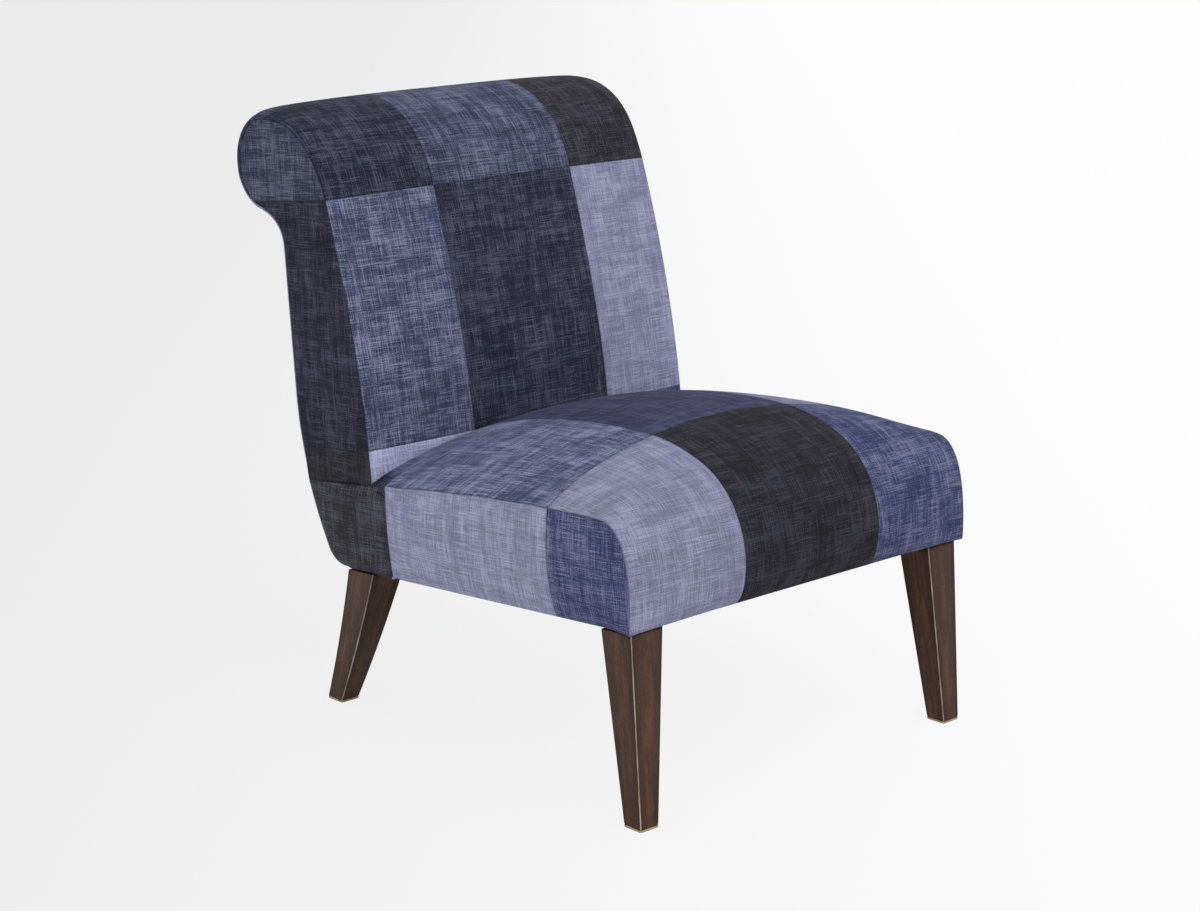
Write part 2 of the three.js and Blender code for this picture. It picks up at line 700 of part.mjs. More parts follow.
function addLeg(leg) {
  const outer = seatHalf - legCorner;
  const x = leg.side * (outer - legTopSide / 2);
  const y = leg.face + legTopSide / 2;
  const taper = (legTopSide - legFootSide) / 2;
  const footX = leg.side * (outer - leg.toe - legFootSide / 2);
  const footY = level(x, y, 0).y + leg.rake - taper;
  const footRing = (side, z) =>
    chamferedSquare(footX, footY, side, legChamfer).map(([a, b]) => new THREE.Vector3(a, b, z));
  const high = chamferedSquare(x, y, legTopSide, legChamfer).map(([a, b]) => level(a, b, 0));
  const low = footRing(legFootSide, glideThickness + clearance);
  const rings = spaced(0, 1, bendSteps).map((t) => {
    const bow = new THREE.Vector3(0, -leg.bow * 4 * t * (1 - t), 0);
    return high.map((p, k) => p.clone().lerp(low[k], t).add(bow));
  });
  const hole = boltHole(leg, -boltInLeg - clearance, cutOverrun);
  hole.rotateX(-bodyPitch).translate(0, 0, frontUnderside);
  addPart(chair, `leg_${leg.name}`, cut(loft(rings), hole), "wood");
  const glide = [
    footRing(legFootSide - 2 * glideChamfer, 0),
    footRing(legFootSide, glideChamfer),
    footRing(legFootSide, glideThickness),
  ];
  addPart(chair, `glide_${leg.name}`, loft(glide), "glide");
}

// A leg's hanger bolt, the insert it screws into and the corner block round them
function addFastening(leg) {
  const x = blockMiddle(leg);
  const y = leg.blockY;
  const radius = boltDiameter / 2;
  const shank = [[radius, boltTip - boltInLeg], [radius, boltInFrame]];
  const bolt = turned([[0, -boltInLeg], ...shank, [0, boltInFrame]]);
  addPart(body, `hanger_bolt_${leg.name}`, bolt.translate(x, y, 0), "steel");
  const bore = radius + clearance;
  const barrel = insertDiameter / 2;
  const flange = insertFlange / 2;
  const top = railBase + insertLength;
  const seat = railBase + insertFlangeThickness;
  const insert = turned([[bore, railBase], [flange, railBase], [flange, seat], [barrel, seat], [barrel, top],
    [bore, top], [bore, railBase]]);
  addPart(body, `threaded_insert_${leg.name}`, insert.translate(x, y, 0), "brass");
  const half = cornerBlockSide / 2;
  const block = box(x - half, x + half, y - half, y + half, railBase, railTop);
  const socket = turned([[0, railBase - cutOverrun], [flange + clearance, railBase - cutOverrun],
    [flange + clearance, seat + clearance], [barrel + clearance, seat + clearance],
    [barrel + clearance, top + clearance], [bore, top + clearance], [bore, boltInFrame + cutOverrun],
    [0, boltInFrame + cutOverrun]]);
  addPart(body, `corner_block_${leg.name}`, cut(block, socket.translate(x, y, 0)), "timber");
}

for (const leg of legs) {
  addLeg(leg);
  addFastening(leg);
}

// Seat frame

const blockInner = frameHalf - cornerBlockSide - clearance;
const sideRailFront = frameFront + cornerBlockSide + clearance;
const sideRailRear = frameRear - cornerBlockSide - clearance;
const crosswise = (y0, y1) => box(-blockInner, blockInner, y0, y1, railBase, railTop);
addPart(body, "front_rail", crosswise(frameFront, frameFront + railThickness), "timber");
addPart(body, "rear_rail", crosswise(frameRear - railThickness, frameRear), "timber");
for (const [name, side] of [["left", -1], ["right", 1]]) {
  const rail = box(frameHalf - railThickness, frameHalf, sideRailFront, sideRailRear, railBase, railTop);
  addPart(body, `${name}_rail`, side < 0 ? mirrored(rail) : rail, "timber");
}

// Springs, clips and pad

for (let k = 0; k < springCount; k++) {
  const x = springSpacing * (k - (springCount - 1) / 2);
  addPart(body, `sinuous_spring_${k + 1}`, springGeometry(x), "steel");
  addPart(body, `spring_clip_front_${k + 1}`, clipGeometry(x, springFront, 1), "steel");
  addPart(body, `spring_clip_rear_${k + 1}`, clipGeometry(x, springRear, -1), "steel");
}
const padLow = clipOuter + clearance;
const padHigh = padLow + seatPadThickness;
const padOverhang = railThickness * padOverhangShare;
addPart(body, "spring_pad", arcPrism(padLow, padHigh, betweenPosts, padOverhang), "felt");

// Seat foam and covers

const foamInset = coverThickness + clearance;
const frameRoom = box(-frameHalf - clearance, frameHalf + clearance, frameFront - clearance,
  frameRear, -cutOverrun, railTop + clearance);
const padRoom = arcPrism(0, padHigh + clearance, betweenPosts + clearance, padOverhang + clearance, railBase);
const sideRoom = box(postOuter - clearance, seatWidth, sideEnd - clearance, frameRear, -cutOverrun,
  rearSeamHeight);
const seatFoam = cut(seatEnvelope(foamInset), frameRoom, padRoom, sideRoom, mirrored(sideRoom));
addPart(body, "seat_foam", seatFoam, "foam");
const seatCover = slab(acrossSteps, lastSample, seatTop(0, 0), seatTop(0, coverThickness));
addPart(body, "seat_cover", seatCover, "seatCloth");
for (const [name, side] of [["left", -1], ["right", 1]]) {
  const outer = seatSide(side, clearance, 0);
  const inner = seatSide(side, clearance, coverThickness);
  addPart(body, `seat_side_cover_${name}`, slab(sideEndSample, sideSteps, outer, inner), "sideCloth");
}

// Back frame

const samplesBetween = (a, b, inset) => spaced(a, b, b - a).map((k) => insetPoint(k, inset).toArray());

function postOutline() {
  const front = samplesBetween(0, outline.nextStart, postFrontInset);
  const rear = samplesBetween(outline.nextStart, lastPoint, postRearInset);
  const tail = frameRear + clearance;
  const shelf = railTop + clearance;
  const toe = seatDepth + clearance;
  return [[toe, shelf], [toe, lowerSeamHeight], [front[0][0], lowerSeamHeight], ...front, ...rear,
    [tail, rear.at(-1)[1]], [tail, shelf]];
}

const post = sawn(postOutline().reverse(), postOuter - postThickness, postOuter);
addPart(body, "back_post_left", mirrored(post), "plywood");
addPart(body, "back_post_right", post, "plywood");

const crossRail = (y, z, thickness, height) =>
  box(-betweenPosts, betweenPosts, y, y + thickness, z - height / 2, z + height / 2);
const postFrontAt = (z, height) => frontLine(z + height / 2, postFrontInset + clearance);
const headRadius = rollRadius - postFrontInset;
const scrollRailSide = headRadius * scrollRailShare;
addPart(body, "scroll_rail", crossRail(rollY - scrollRailSide / 2, rollHeight, scrollRailSide, scrollRailSide),
  "timber");
addPart(body, "neck_rail", crossRail(postFrontAt(neckRailPlace, neckRailHeight), neckRailPlace,
  crossRailThickness, neckRailHeight), "timber");
addPart(body, "lumbar_rail", crossRail(postFrontAt(lumbarRailPlace, lumbarRailHeight), lumbarRailPlace,
  crossRailThickness, lumbarRailHeight), "timber");
addPart(body, "tack_rail", crossRail(frameRear + crossRailThickness / 2, tackRailPlace, crossRailThickness,
  tackRailHeight), "timber");

// Webbing straps and scroll board, bent over the posts

function strap(place) {
  const heights = spaced(place - strapWidth / 2, place + strapWidth / 2, 2);
  const point = (inset) => (i, j) =>
    new THREE.Vector3((2 * i - 1) * postOuter, frontLine(heights[j], inset), heights[j]);
  return slab(1, 2, point(backingOuter + clearance), point(backingInner));
}
for (const [name, place] of Object.entries(strapPlaces)) {
  addPart(body, `back_webbing_${name}`, strap(place), "webbing");
}
const boardStart = outline.lineEnd - 1;
addPart(body, "scroll_board", backSkin(boardStart, outline.coverEnd, flat(backingOuter), flat(backingInner),
  postOuter, 1), "chipboard");

// Back foam, covers and outside board

addPart(body, "back_foam", backSkin(0, outline.coverEnd, crowned(foamInset), flat(paddingInner),
  postOuter, backSteps), "foam");
addPart(body, "inside_back_cover", backSkin(0, outline.coverEnd, crowned(0), crowned(coverThickness),
  backHalf, backSteps), "backCloth");
addPart(body, "outside_back_board", backSkin(outline.nextStart, lastPoint, flat(boardOuter),
  flat(boardOuter + outsideBoardThickness), postOuter, 1), "chipboard");
addPart(body, "outside_back_cover", backSkin(outline.nextStart, lastPoint, flat(0), flat(coverThickness),
  backHalf, 1), "outsideCloth");

// Side facings with the scroll ends, and the lower side covers

function facingOutline() {
  const edge = samplesBetween(0, outline.seamEnd, boardOuter);
  const [y, z] = edge.at(-1);
  return [...edge.slice(0, -1), [y, z + clearance]];
}
const facing = sawn(facingOutline().reverse(), backHalf - coverThickness, backHalf);
addPart(body, "side_facing_left", mirrored(facing), "facingCloth");
addPart(body, "side_facing_right", facing, "facingCloth");

// Below the seam the cloth stands out to the seat frame, and comes in to the back's width at its top and rear.
function lowerSide(inset) {
  const step = frameHalf + clearance + coverThickness - backHalf;
  const rows = lastPoint - outline.seamEnd;
  const start = sideEnd + clearance;
  const corner = frameRear + clearance;
  return (i, j) => {
    const rear = insetPoint(outline.seamEnd + j, boardOuter);
    const beside = Math.min(i / besideSteps, 1);
    const behind = Math.max(0, (i - besideSteps) / behindSteps);
    const y = THREE.MathUtils.lerp(THREE.MathUtils.lerp(start, corner, beside), rear.x, behind);
    const frontHeight = THREE.MathUtils.lerp(lowerSeamHeight, clearance, j / rows);
    const rearHeight = j === 0 ? lowerSeam(rear.x) - clearance : rear.y;
    const z = THREE.MathUtils.lerp(frontHeight, rearHeight, (y - start) / (rear.x - start));
    const atTop = THREE.MathUtils.clamp((lowerSeamHeight - z) / ledgeRun, 0, 1);
    return new THREE.Vector3(backHalf + step * atTop * (1 - behind) - inset, y, z);
  };
}
const lowerRows = lastPoint - outline.seamEnd;
const lowerCover = slab(besideSteps + behindSteps, lowerRows, lowerSide(0), lowerSide(coverThickness));
addPart(body, "lower_side_cover_left", mirrored(lowerCover), "lowerCloth");
addPart(body, "lower_side_cover_right", lowerCover, "lowerCloth");

// Dust cover, with a hole for each bolt

const dustSheet = box(-frameHalf, frameHalf, frameFront, frameRear, clearance, clearance + dustCoverThickness);
const boltHoles = legs.map((leg) => boltHole(leg, -cutOverrun, cutOverrun));
addPart(body, "dust_cover", cut(dustSheet, ...boltHoles), "dustCloth");

// The origin goes under the middle of the chair's box.
chair.updateMatrixWorld(true);
const bounds = new THREE.Box3().setFromObject(chair, true);
chair.position.y = -(bounds.min.y + bounds.max.y) / 2;
const slipperChair = new THREE.Group();
slipperChair.add(chair);

export default slipperChair;
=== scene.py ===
"""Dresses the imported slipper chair: patchwork linen on its seat and back, stained legs and a pale studio.

Lengths are metres. The upholstered body keeps the CAD part's own frame: y runs back from the front edge of
its underside, z runs up from its underside, and place() pitches it back and sets it over the floor.
"""

import math
from types import SimpleNamespace

import bpy
import numpy as np
from bpy.props import FloatProperty, FloatVectorProperty, PointerProperty
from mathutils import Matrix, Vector


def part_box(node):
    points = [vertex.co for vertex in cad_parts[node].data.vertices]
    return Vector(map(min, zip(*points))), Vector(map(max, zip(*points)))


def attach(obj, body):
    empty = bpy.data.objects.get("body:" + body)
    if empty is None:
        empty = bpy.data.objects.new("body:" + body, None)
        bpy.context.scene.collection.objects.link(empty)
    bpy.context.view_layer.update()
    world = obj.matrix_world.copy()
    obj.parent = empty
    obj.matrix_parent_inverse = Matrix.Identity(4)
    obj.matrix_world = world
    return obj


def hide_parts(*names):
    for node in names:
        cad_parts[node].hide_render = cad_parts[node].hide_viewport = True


bl_info = {
    "name": "Slipper chair",
    "version": (1, 0, 0),
    "blender": (4, 5, 0),
    "location": "3D View > Sidebar > Slipper chair",
    "description": "Makes the cloth, legs, finishes and studio of a patchwork slipper chair",
    "category": "Object",
}

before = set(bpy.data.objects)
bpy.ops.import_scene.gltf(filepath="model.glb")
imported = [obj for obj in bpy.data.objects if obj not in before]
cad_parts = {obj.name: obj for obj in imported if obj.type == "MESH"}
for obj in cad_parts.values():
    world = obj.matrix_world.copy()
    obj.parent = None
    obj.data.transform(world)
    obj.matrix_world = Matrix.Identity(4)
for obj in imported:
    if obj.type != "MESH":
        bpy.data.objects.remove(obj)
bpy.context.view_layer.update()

# Sizes that the cloth shares with the solids under it

PITCH = math.radians(4.1)
RAIL_FRONT, RAIL_BASE, RAIL_TOP = 0.008, 0.0018, 0.0898  # the front rail, in the body's frame
RAIL_LOW, RAIL_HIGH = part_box("front_rail")
BODY_Y = RAIL_LOW.y - RAIL_FRONT * math.cos(PITCH) - RAIL_BASE * math.sin(PITCH)
BODY_Z = RAIL_HIGH.z - RAIL_TOP * math.cos(PITCH) + RAIL_FRONT * math.sin(PITCH)
CLEARANCE = 0.0003
COVER = 0.002
FRAME_HALF = 0.293  # half the dust cover's width
FRAME_REAR = 0.554
SEAT_BACK_GAP = 0.0008
SEAT_END = 0.465  # where the seat's side ends and the lower side cover begins
REAR_SEAM_HEIGHT = 0.1217
JUNCTION_HEIGHT = 0.170
PATCH_HALF = 0.122  # from the seat's middle to the seam between two patches
SEAM_ROUND = 0.003  # width over which the back's cloth rounds over its side seams
ROLL_FLAT = 0.005  # how soon the roll's crown rises beside its left end
ROLL_SHOULDER = 0.0085  # how much squarer the roll's front is near its right end
SHOULDER_RISE, SHOULDER_FADE = 0.004, 0.070  # how soon that rises and fades, in from the right end
ROLL_BLEND = 12  # samples over which the crown and the rims change before and after the roll's seam
BACK_SEAMS = (-0.113, 0.135)  # where the inside back's patches meet, from its middle
STRIP_HEIGHT = 0.1655  # seam over the inside back's lowest row of patches
WRAP_HALF = 0.284  # how far in the seat side's cloth goes behind its rear edge
UNDER_CORNER = 0.020  # height at which the outside back begins to turn under
ROLL_SAMPLES = 57  # samples at the end of the rear outline whose normals are the roll's
FACING_COLUMNS, SLIVER_COLUMNS = 24, 3  # of the side facing, and of the inside back's cloth beside it
CLOSE = [step / 0.288 for step in (0.0002, 0.0006, 0.0013, 0.0022, 0.0034)]  # shares in from the back's side seams
FIRST_COLUMN, LAST_COLUMN, FIRST_ROW, LAST_ROW = 1, 2, 4, 8  # the borders of a panel, which add up
ALL_BORDERS = FIRST_COLUMN | LAST_COLUMN | FIRST_ROW | LAST_ROW
SIDES = ((-1, "left"), (1, "right"))

# Corners of the Beziers for the seat's side seam and middle line, as shares of its depth and height
EDGE_SHARES = [
    [[0, 0], [-0.016, 0.54], [0.004, 1], [0.089, 1]],
    [[0.089, 1], [0.148, 1.01], [0.209, 1.014], [0.269, 1.014]],
    [[0.269, 1.014], [0.494, 1.022], [0.751, 0.971]],
]
CROWN_SHARES = [
    [[0, 0], [-0.089, 0.282], [-0.024, 0.704], [0.089, 0.836]],
    [[0.089, 0.836], [0.142, 0.897], [0.206, 0.962], [0.269, 0.981]],
    [[0.269, 0.981], [0.455, 1.033], [0.79, 1.009]],
]
CROWN_POWER = 0.78
ROLL_CROWN_POWER = 0.3
JOINT_TURN = -10.0  # degrees round the roll from its rearmost point to where the inside back's cloth ends
NECK_TURN = -75.0  # degrees, the same to where the neck's curve meets the roll
RAKE_POWER = 1.7  # how the inside back's front line curves back
OUTSIDE_ROWS = 110

# Legs: where the front face stands, how far the foot is set back, and how far it comes in
LEG_PLACES = {"front": (0.0034, -0.0176, 0.0008), "rear": (0.5022, 0.1052, 0.0229)}
LEG_INSET = 0.006  # from the seat's side to the leg's outer face
LEG_LENGTH = 0.24  # over which the grain runs
GLIDE_TOP = 0.0033  # height of the leg's lower end
EDGE_WEAR_AND_HIGHLIGHT = [0.62, 0.55, 1.0, 0.58]  # how worn each long edge is and how much painted highlight it carries, from the rear right one round by the rear left

# Cloth simulation
SWELL_PITCH = 0.003  # least distance between the columns that take part
SWELL_PRESSURE = 4.0
SWELL_FRAMES = 20

# Dye and level of each patch. The levels are partly each patch's own uneven fading and partly painted light
# and shade. On the seat and the inside back, rows run up and back from the front edge, each from left to
# right. On a side they run from front to rear.
SEAT_PATCHES = [
    ("lavender", 0.93), ("black", 0.66), ("denim", 0.86),
    ("slate", 1.08), ("indigo", 0.94), ("lavender", 0.87),
]
SIDE_PATCHES = {"left": [("denim", 0.93), ("lavender", 1.07)], "right": [("black", 1.0), ("slate", 1.0)]}
TUCK_PATCHES = {"left": [("slate", 0.9)], "right": [("lavender", 0.9)]}
BACK_PATCHES = [
    # The first level, 1.55, is painted light, which lifts the lowest row out of the shade at the foot of the back
    ("lavender", 1.55), ("lavender", 1.0), ("denim", 1.0),
    ("slate", 0.96), ("navy", 0.88), ("lavender", 1.04),
    ("navy", 0.77), ("slate", 0.66), ("black", 0.95),
]
# In each row of a facing: its own patch, then the sliver of the inside back's cloth behind it
FACING_PATCHES = {
    # The left facing's low levels are partly its own darker tone and partly painted shade, as that side took less light
    "left": [("umber", 0.55), ("umber", 0.55), ("navy", 0.64), ("navy", 0.64), ("slate", 0.52), ("navy", 0.55)],
    "right": [("umber", 1.0), ("umber", 1.0), ("slate", 1.0), ("slate", 1.0), ("navy", 1.0), ("black", 0.85)],
}
LOWER_PATCHES = [("umber", 1.13)]
OUTSIDE_PATCHES = [("lavender", 1.0)]
PATCH_SHIFT = (0.371, 0.643)  # metres by which the weave is moved from one patch to the next
# How far the palest threads of each dye have faded towards the worn thread
FADES = {"lavender": 0.85, "denim": 0.50, "slate": 0.64, "indigo": 0.16, "navy": 0.24, "black": 0.14, "umber": 0.16}
THREAD_PITCH = 0.00085

# Studio
SUN_DISTANCE = 4
SUNS = {"key_light": ((0.12, 0.50, -0.86), 1.15, 60), "side_light": ((0.92, 0.25, -0.30), 0.35, 70)}
WORLD_LEVEL = 0.58
BACKDROP_TONE = 0.88
FLOOR_REACH = 40.0
FLOOR_PAINTED_LIGHT = [(0.0, 0.968), (0.5, 1.075), (1.0, 1.168)]  # painted light, from the left of the view to its right
FLOOR_SHADE_TURN, FLOOR_SHADE_HALF = math.radians(42.9), 0.95
FLOOR_GLOW = 0.93
CAMERA_AZIMUTH, CAMERA_ELEVATION = math.radians(-42.897), math.radians(14.477)
CAMERA_DISTANCE = 3.5371
CAMERA_AIM = Vector((-0.1084, BODY_Y + 0.2629, 0.3884))
CAMERA_LENS, CAMERA_SENSOR = 81.885, 36.0


def length(name, description, default):
    """A size in metres for a property group."""
    return FloatProperty(name=name, description=description, default=default, unit="LENGTH", precision=4)


def colour(name, description, default):
    """A colour for a property group, as linear red, green and blue."""
    return FloatVectorProperty(name=name, description=description, default=default, subtype="COLOR", min=0, max=1)


class SLIPPER_PG_seat(bpy.types.PropertyGroup):
    """Sizes of the seat's cloth."""

    width: length("Seat width", "From one side seam to the other", 0.610)
    depth: length("Seat depth", "From the front edge to the foot of the back, at the side seams", 0.506)
    seam_height: length("Side seam height", "From the underside to the seam on top of the seat's side", 0.138)
    crown_height: length("Crown height", "From the underside to the top of the dome", 0.213)
    draw_in: length("Draw in", "Length over which the seat narrows to the back", 0.106)
    side_swell: length("Side swell", "How far the side stands out at mid height", 0.007)
    side_tuck: length("Side tuck", "How far the side comes in at its lower edge", 0.006)
    corner_run: length("Corner run", "From the front corner to where the side swells fully", 0.046)
    turn_under: length("Turn under", "Cloth turned in under the frame", 0.0115)
    right_ease: length("Right ease", "How much fuller the seat is at its front right corner", 0.0065)
    dip: length("Dip", "How deep the cloth goes down at the rear corners, in front of the back", 0.010)
    dip_width: length("Dip width", "How far from the side that dip reaches", 0.075)


class SLIPPER_PG_back(bpy.types.PropertyGroup):
    """Sizes of the back's cloth."""

    set_in: length("Set in", "From the side of the seat to the side of the back", 0.017)
    thickness: length("Thickness", "From the foot of the back to its rear line", 0.152)
    rake: length("Rake", "How far the front line runs back between the seat and the roll", 0.0596)
    crown: length("Crown", "How far the inside back stands out in its middle", 0.010)
    roll_crown: length("Roll crown", "How far the top of the roll stands out in its middle", 0.016)
    rim: length("Rim", "How far the rear side seams lie inside the outline", 0.005)
    front_rim: length("Front rim", "How far the scroll end's seam lies inside the roll in front", 0.002)
    top_rim: length("Top rim", "The same at the top of the roll", 0.0045)
    rear_rim: length("Rear rim", "The same behind the roll", 0.012)
    roll_seam_height: length("Roll seam height", "From the underside to the seam below the roll", 0.4944)
    roll_radius: length("Roll radius", "Radius of the scroll", 0.064)
    roll_setback: length("Roll setback", "From the foot of the back to the middle of the roll", 0.191)
    roll_height: length("Roll height", "From the underside to the middle of the roll", 0.538)
    roll_rise: length("Roll rise", "How long the front line keeps its slope into the roll", 0.070)
    neck_height: length("Neck height", "From the underside to the neck under the roll", 0.428)
    lean: length("Lean", "How far the rear line leans back up to the neck", 0.009)
    flare: length("Flare", "How far the rear line comes forward at the underside", 0.0595)
    flare_height: length("Flare height", "Height over which it comes forward", 0.230)
    seam_fall: length("Seam fall", "How far the lower side seam drops to the rear", 0.010)
    under_end: length("Under end", "Where the outside back's curve ends under the frame", 0.570)


class SLIPPER_PG_legs(bpy.types.PropertyGroup):
    """Sizes of the legs."""

    top_side: length("Top side", "Side of the square at the top", 0.0537)
    foot_side: length("Foot side", "Side of the square at the foot", 0.0307)
    arris: length("Arris", "Radius of the long edges", 0.0022)
    bow: length("Bow", "How far the rear legs bow forward", 0.003)


class SLIPPER_PG_colours(bpy.types.PropertyGroup):
    """Colours of the patches, the wood and the floor."""

    lavender: colour("Lavender", "Light faded patches", (0.275, 0.281, 0.432))
    denim: colour("Denim blue", "Front patch on the seat's left side", (0.056, 0.068, 0.185))
    slate: colour("Slate blue", "Middle patches", (0.069, 0.082, 0.172))
    indigo: colour("Indigo", "Rear middle patch of the seat", (0.042, 0.0436, 0.106))
    navy: colour("Navy", "Dark patches of the back", (0.0238, 0.0245, 0.050))
    black: colour("Black", "Middle front patch of the seat", (0.0238, 0.0209, 0.0274))
    umber: colour("Brown black", "Lower side covers", (0.028, 0.0255, 0.029))
    worn: colour("Worn thread", "What the dyed threads fade to", (0.41, 0.43, 0.62))
    walnut: colour("Walnut", "Stained wood of the legs", (0.056, 0.0216, 0.0105))
    walnut_light: colour("Light walnut", "Lighter grain of the legs", (0.120, 0.0465, 0.0200))
    # Worn wood along the legs' edges, which also stands for a painted highlight there
    arris: colour("Worn arris", "Wood along the legs' edges", (0.56, 0.44, 0.33))
    floor: colour("Floor", "Studio floor", (0.86, 0.86, 0.86))


def sizes():
    """The four property groups: seat, back, legs and colours."""
    scene = bpy.context.scene
    return scene.slipper_seat, scene.slipper_back, scene.slipper_legs, scene.slipper_colours


# Curves and grids


def place(points):
    """Body frame to row frame: y and z turned by the pitch about X, then moved to the body's place."""
    x, y, z = np.moveaxis(np.asarray(points, float), -1, 0)
    c, s = math.cos(PITCH), math.sin(PITCH)
    return np.stack([x, y * c + z * s + BODY_Y, z * c - y * s + BODY_Z], axis=-1)


def cubic(corners, t):
    """Points on a cubic Bezier: its four corners weighted by (1-t)^3, 3t(1-t)^2, 3t^2(1-t) and t^3."""
    t = np.asarray(t, float)[..., None]
    a, b, c, d = (np.asarray(corner, float) for corner in corners)
    return (1 - t) ** 3 * a + 3 * t * (1 - t) ** 2 * b + 3 * t**2 * (1 - t) * c + t**3 * d


def summed(steps):
    """How far each end of a row of steps is from its start."""
    return np.concatenate([[0], np.cumsum(steps)])


def way_along(points):
    """How far along a line each of its points is: the sum of the lengths before it."""
    return summed(np.linalg.norm(np.diff(points, axis=0), axis=1))


def even(curve, start, end, count):
    """Parameters from start to end that cut a curve into stretches of equal length."""
    fine = np.linspace(start, end, 800)
    reach = way_along(curve(fine))
    return np.interp(np.linspace(0, reach[-1], count + 1), reach, fine)


def chain(stretches):
    """Joins stretches of points end to end, and gives the index where each one ends."""
    points = np.concatenate([stretches[0]] + [stretch[1:] for stretch in stretches[1:]])
    ends = np.cumsum([len(stretches[0]) - 1] + [len(stretch) - 1 for stretch in stretches[1:]])
    return points, [int(end) for end in ends]


def dome(across, power=CROWN_POWER):
    """Share of the crown's height at a place across: (1 - across^2) to the crown's power."""
    return np.clip(1 - across**2, 0, 1) ** power


def smooth(value, low, high):
    """Rises from 0 at low to 1 at high as 3t^2 - 2t^3."""
    t = np.clip((value - low) / (high - low), 0, 1)
    return t * t * (3 - 2 * t)


def columns_at(breaks, height, pitch, close=()):
    """Places across from -1 to 1, about a pitch apart along a domed section, with one at each break.

    The section is x = across and z = height times the dome, both in half widths. More places stand
    close to both ends where their distances from them are given.
    """
    fine = np.sin(np.linspace(-math.pi / 2, math.pi / 2, 4001))
    reach = summed(np.hypot(np.diff(fine), np.diff(height * dome(fine))))
    marks = np.interp(breaks, fine, reach)
    places = [np.asarray(breaks, float), np.asarray(close, float) - 1, 1 - np.asarray(close, float)]
    for low, high in zip(marks[:-1], marks[1:]):
        count = max(2, round((high - low) / pitch))
        places.append(np.interp(np.linspace(low, high, count + 1)[1:-1], reach, fine))
    across = np.unique(np.concatenate(places))
    return across, np.searchsorted(across, breaks[1:-1]).tolist()


def seam_round(across, half, depth):
    """How the cloth rounds over a side seam: down by a quarter ellipse over its last 3 mm, to depth at the seam."""
    way_in = np.clip(half * (1 - np.abs(across)) / SEAM_ROUND, 0, 1)
    return depth * (np.sqrt(1 - (1 - way_in) ** 2) - 1)


def grid_quads(rows, columns, flip):
    """The faces of a grid of points, turned round if it is flipped."""
    at = np.arange(rows * columns).reshape(rows, columns)
    corners = np.stack([at[:-1, :-1], at[:-1, 1:], at[1:, 1:], at[1:, :-1]], axis=-1).reshape(-1, 4)
    return corners[:, ::-1] if flip else corners


class Panel:
    """A piece of cloth: a grid of points, its thread coordinates, its patches and how near each seam is.

    Hems are the borders that are sewn. Upright cloth has its threads on y and z, and other cloth on the
    way across from its middle column and the way along.
    """

    def __init__(self, points, row_seams=(), column_seams=(), middle=0, flip=False, hems=ALL_BORDERS, upright=False):
        self.points = place(points)
        self.flip = flip
        rows, columns = self.points.shape[:2]
        across = np.linalg.norm(np.diff(self.points, axis=1), axis=-1)
        along = np.linalg.norm(np.diff(self.points, axis=0), axis=-1)
        u = np.concatenate([np.zeros((rows, 1)), np.cumsum(across, axis=1)], axis=1)
        v = np.concatenate([np.zeros((1, columns)), np.cumsum(along, axis=0)], axis=0)
        self.threads = points[..., 1:].copy() if upright else np.stack([u - u[:, middle : middle + 1], v], axis=-1)
        borders_across = [c for c, bit in ((0, FIRST_COLUMN), (columns - 1, LAST_COLUMN)) if hems & bit]
        borders_along = [r for r, bit in ((0, FIRST_ROW), (rows - 1, LAST_ROW)) if hems & bit]
        near = [np.abs(u - u[:, c : c + 1]) for c in [*column_seams, *borders_across]]
        near += [np.abs(v - v[r : r + 1, :]) for r in [*row_seams, *borders_along]]
        self.seam = np.min(near, axis=0)
        # Painted shade: how much darker the cloth is drawn at each point, down in the folds at the seat's back
        self.crease = np.zeros((rows, columns))
        row = np.searchsorted(row_seams, np.arange(rows - 1), side="right")
        column = np.searchsorted(column_seams, np.arange(columns - 1), side="right")
        self.patch = (row[:, None] * (len(column_seams) + 1) + column[None, :]).ravel()

    def quads(self):
        """The grid's faces, which look outwards."""
        return grid_quads(*self.points.shape[:2], self.flip)

    def normals(self):
        """Outward unit normals: the cross product of the grid's two tangents."""
        across = np.gradient(self.points, axis=1)
        along = np.gradient(self.points, axis=0)
        normal = np.cross(across, along)
        size = np.maximum(np.linalg.norm(normal, axis=-1, keepdims=True), 1e-12)
        return (-normal if self.flip else normal) / size


def side_panel(grid, side, **settings):
    """A panel on the right side, or its mirror image on the left, with upright threads."""
    grid = grid * [-1.0, 1.0, 1.0] if side < 0 else grid
    return Panel(grid, flip=side < 0, upright=True, **settings)


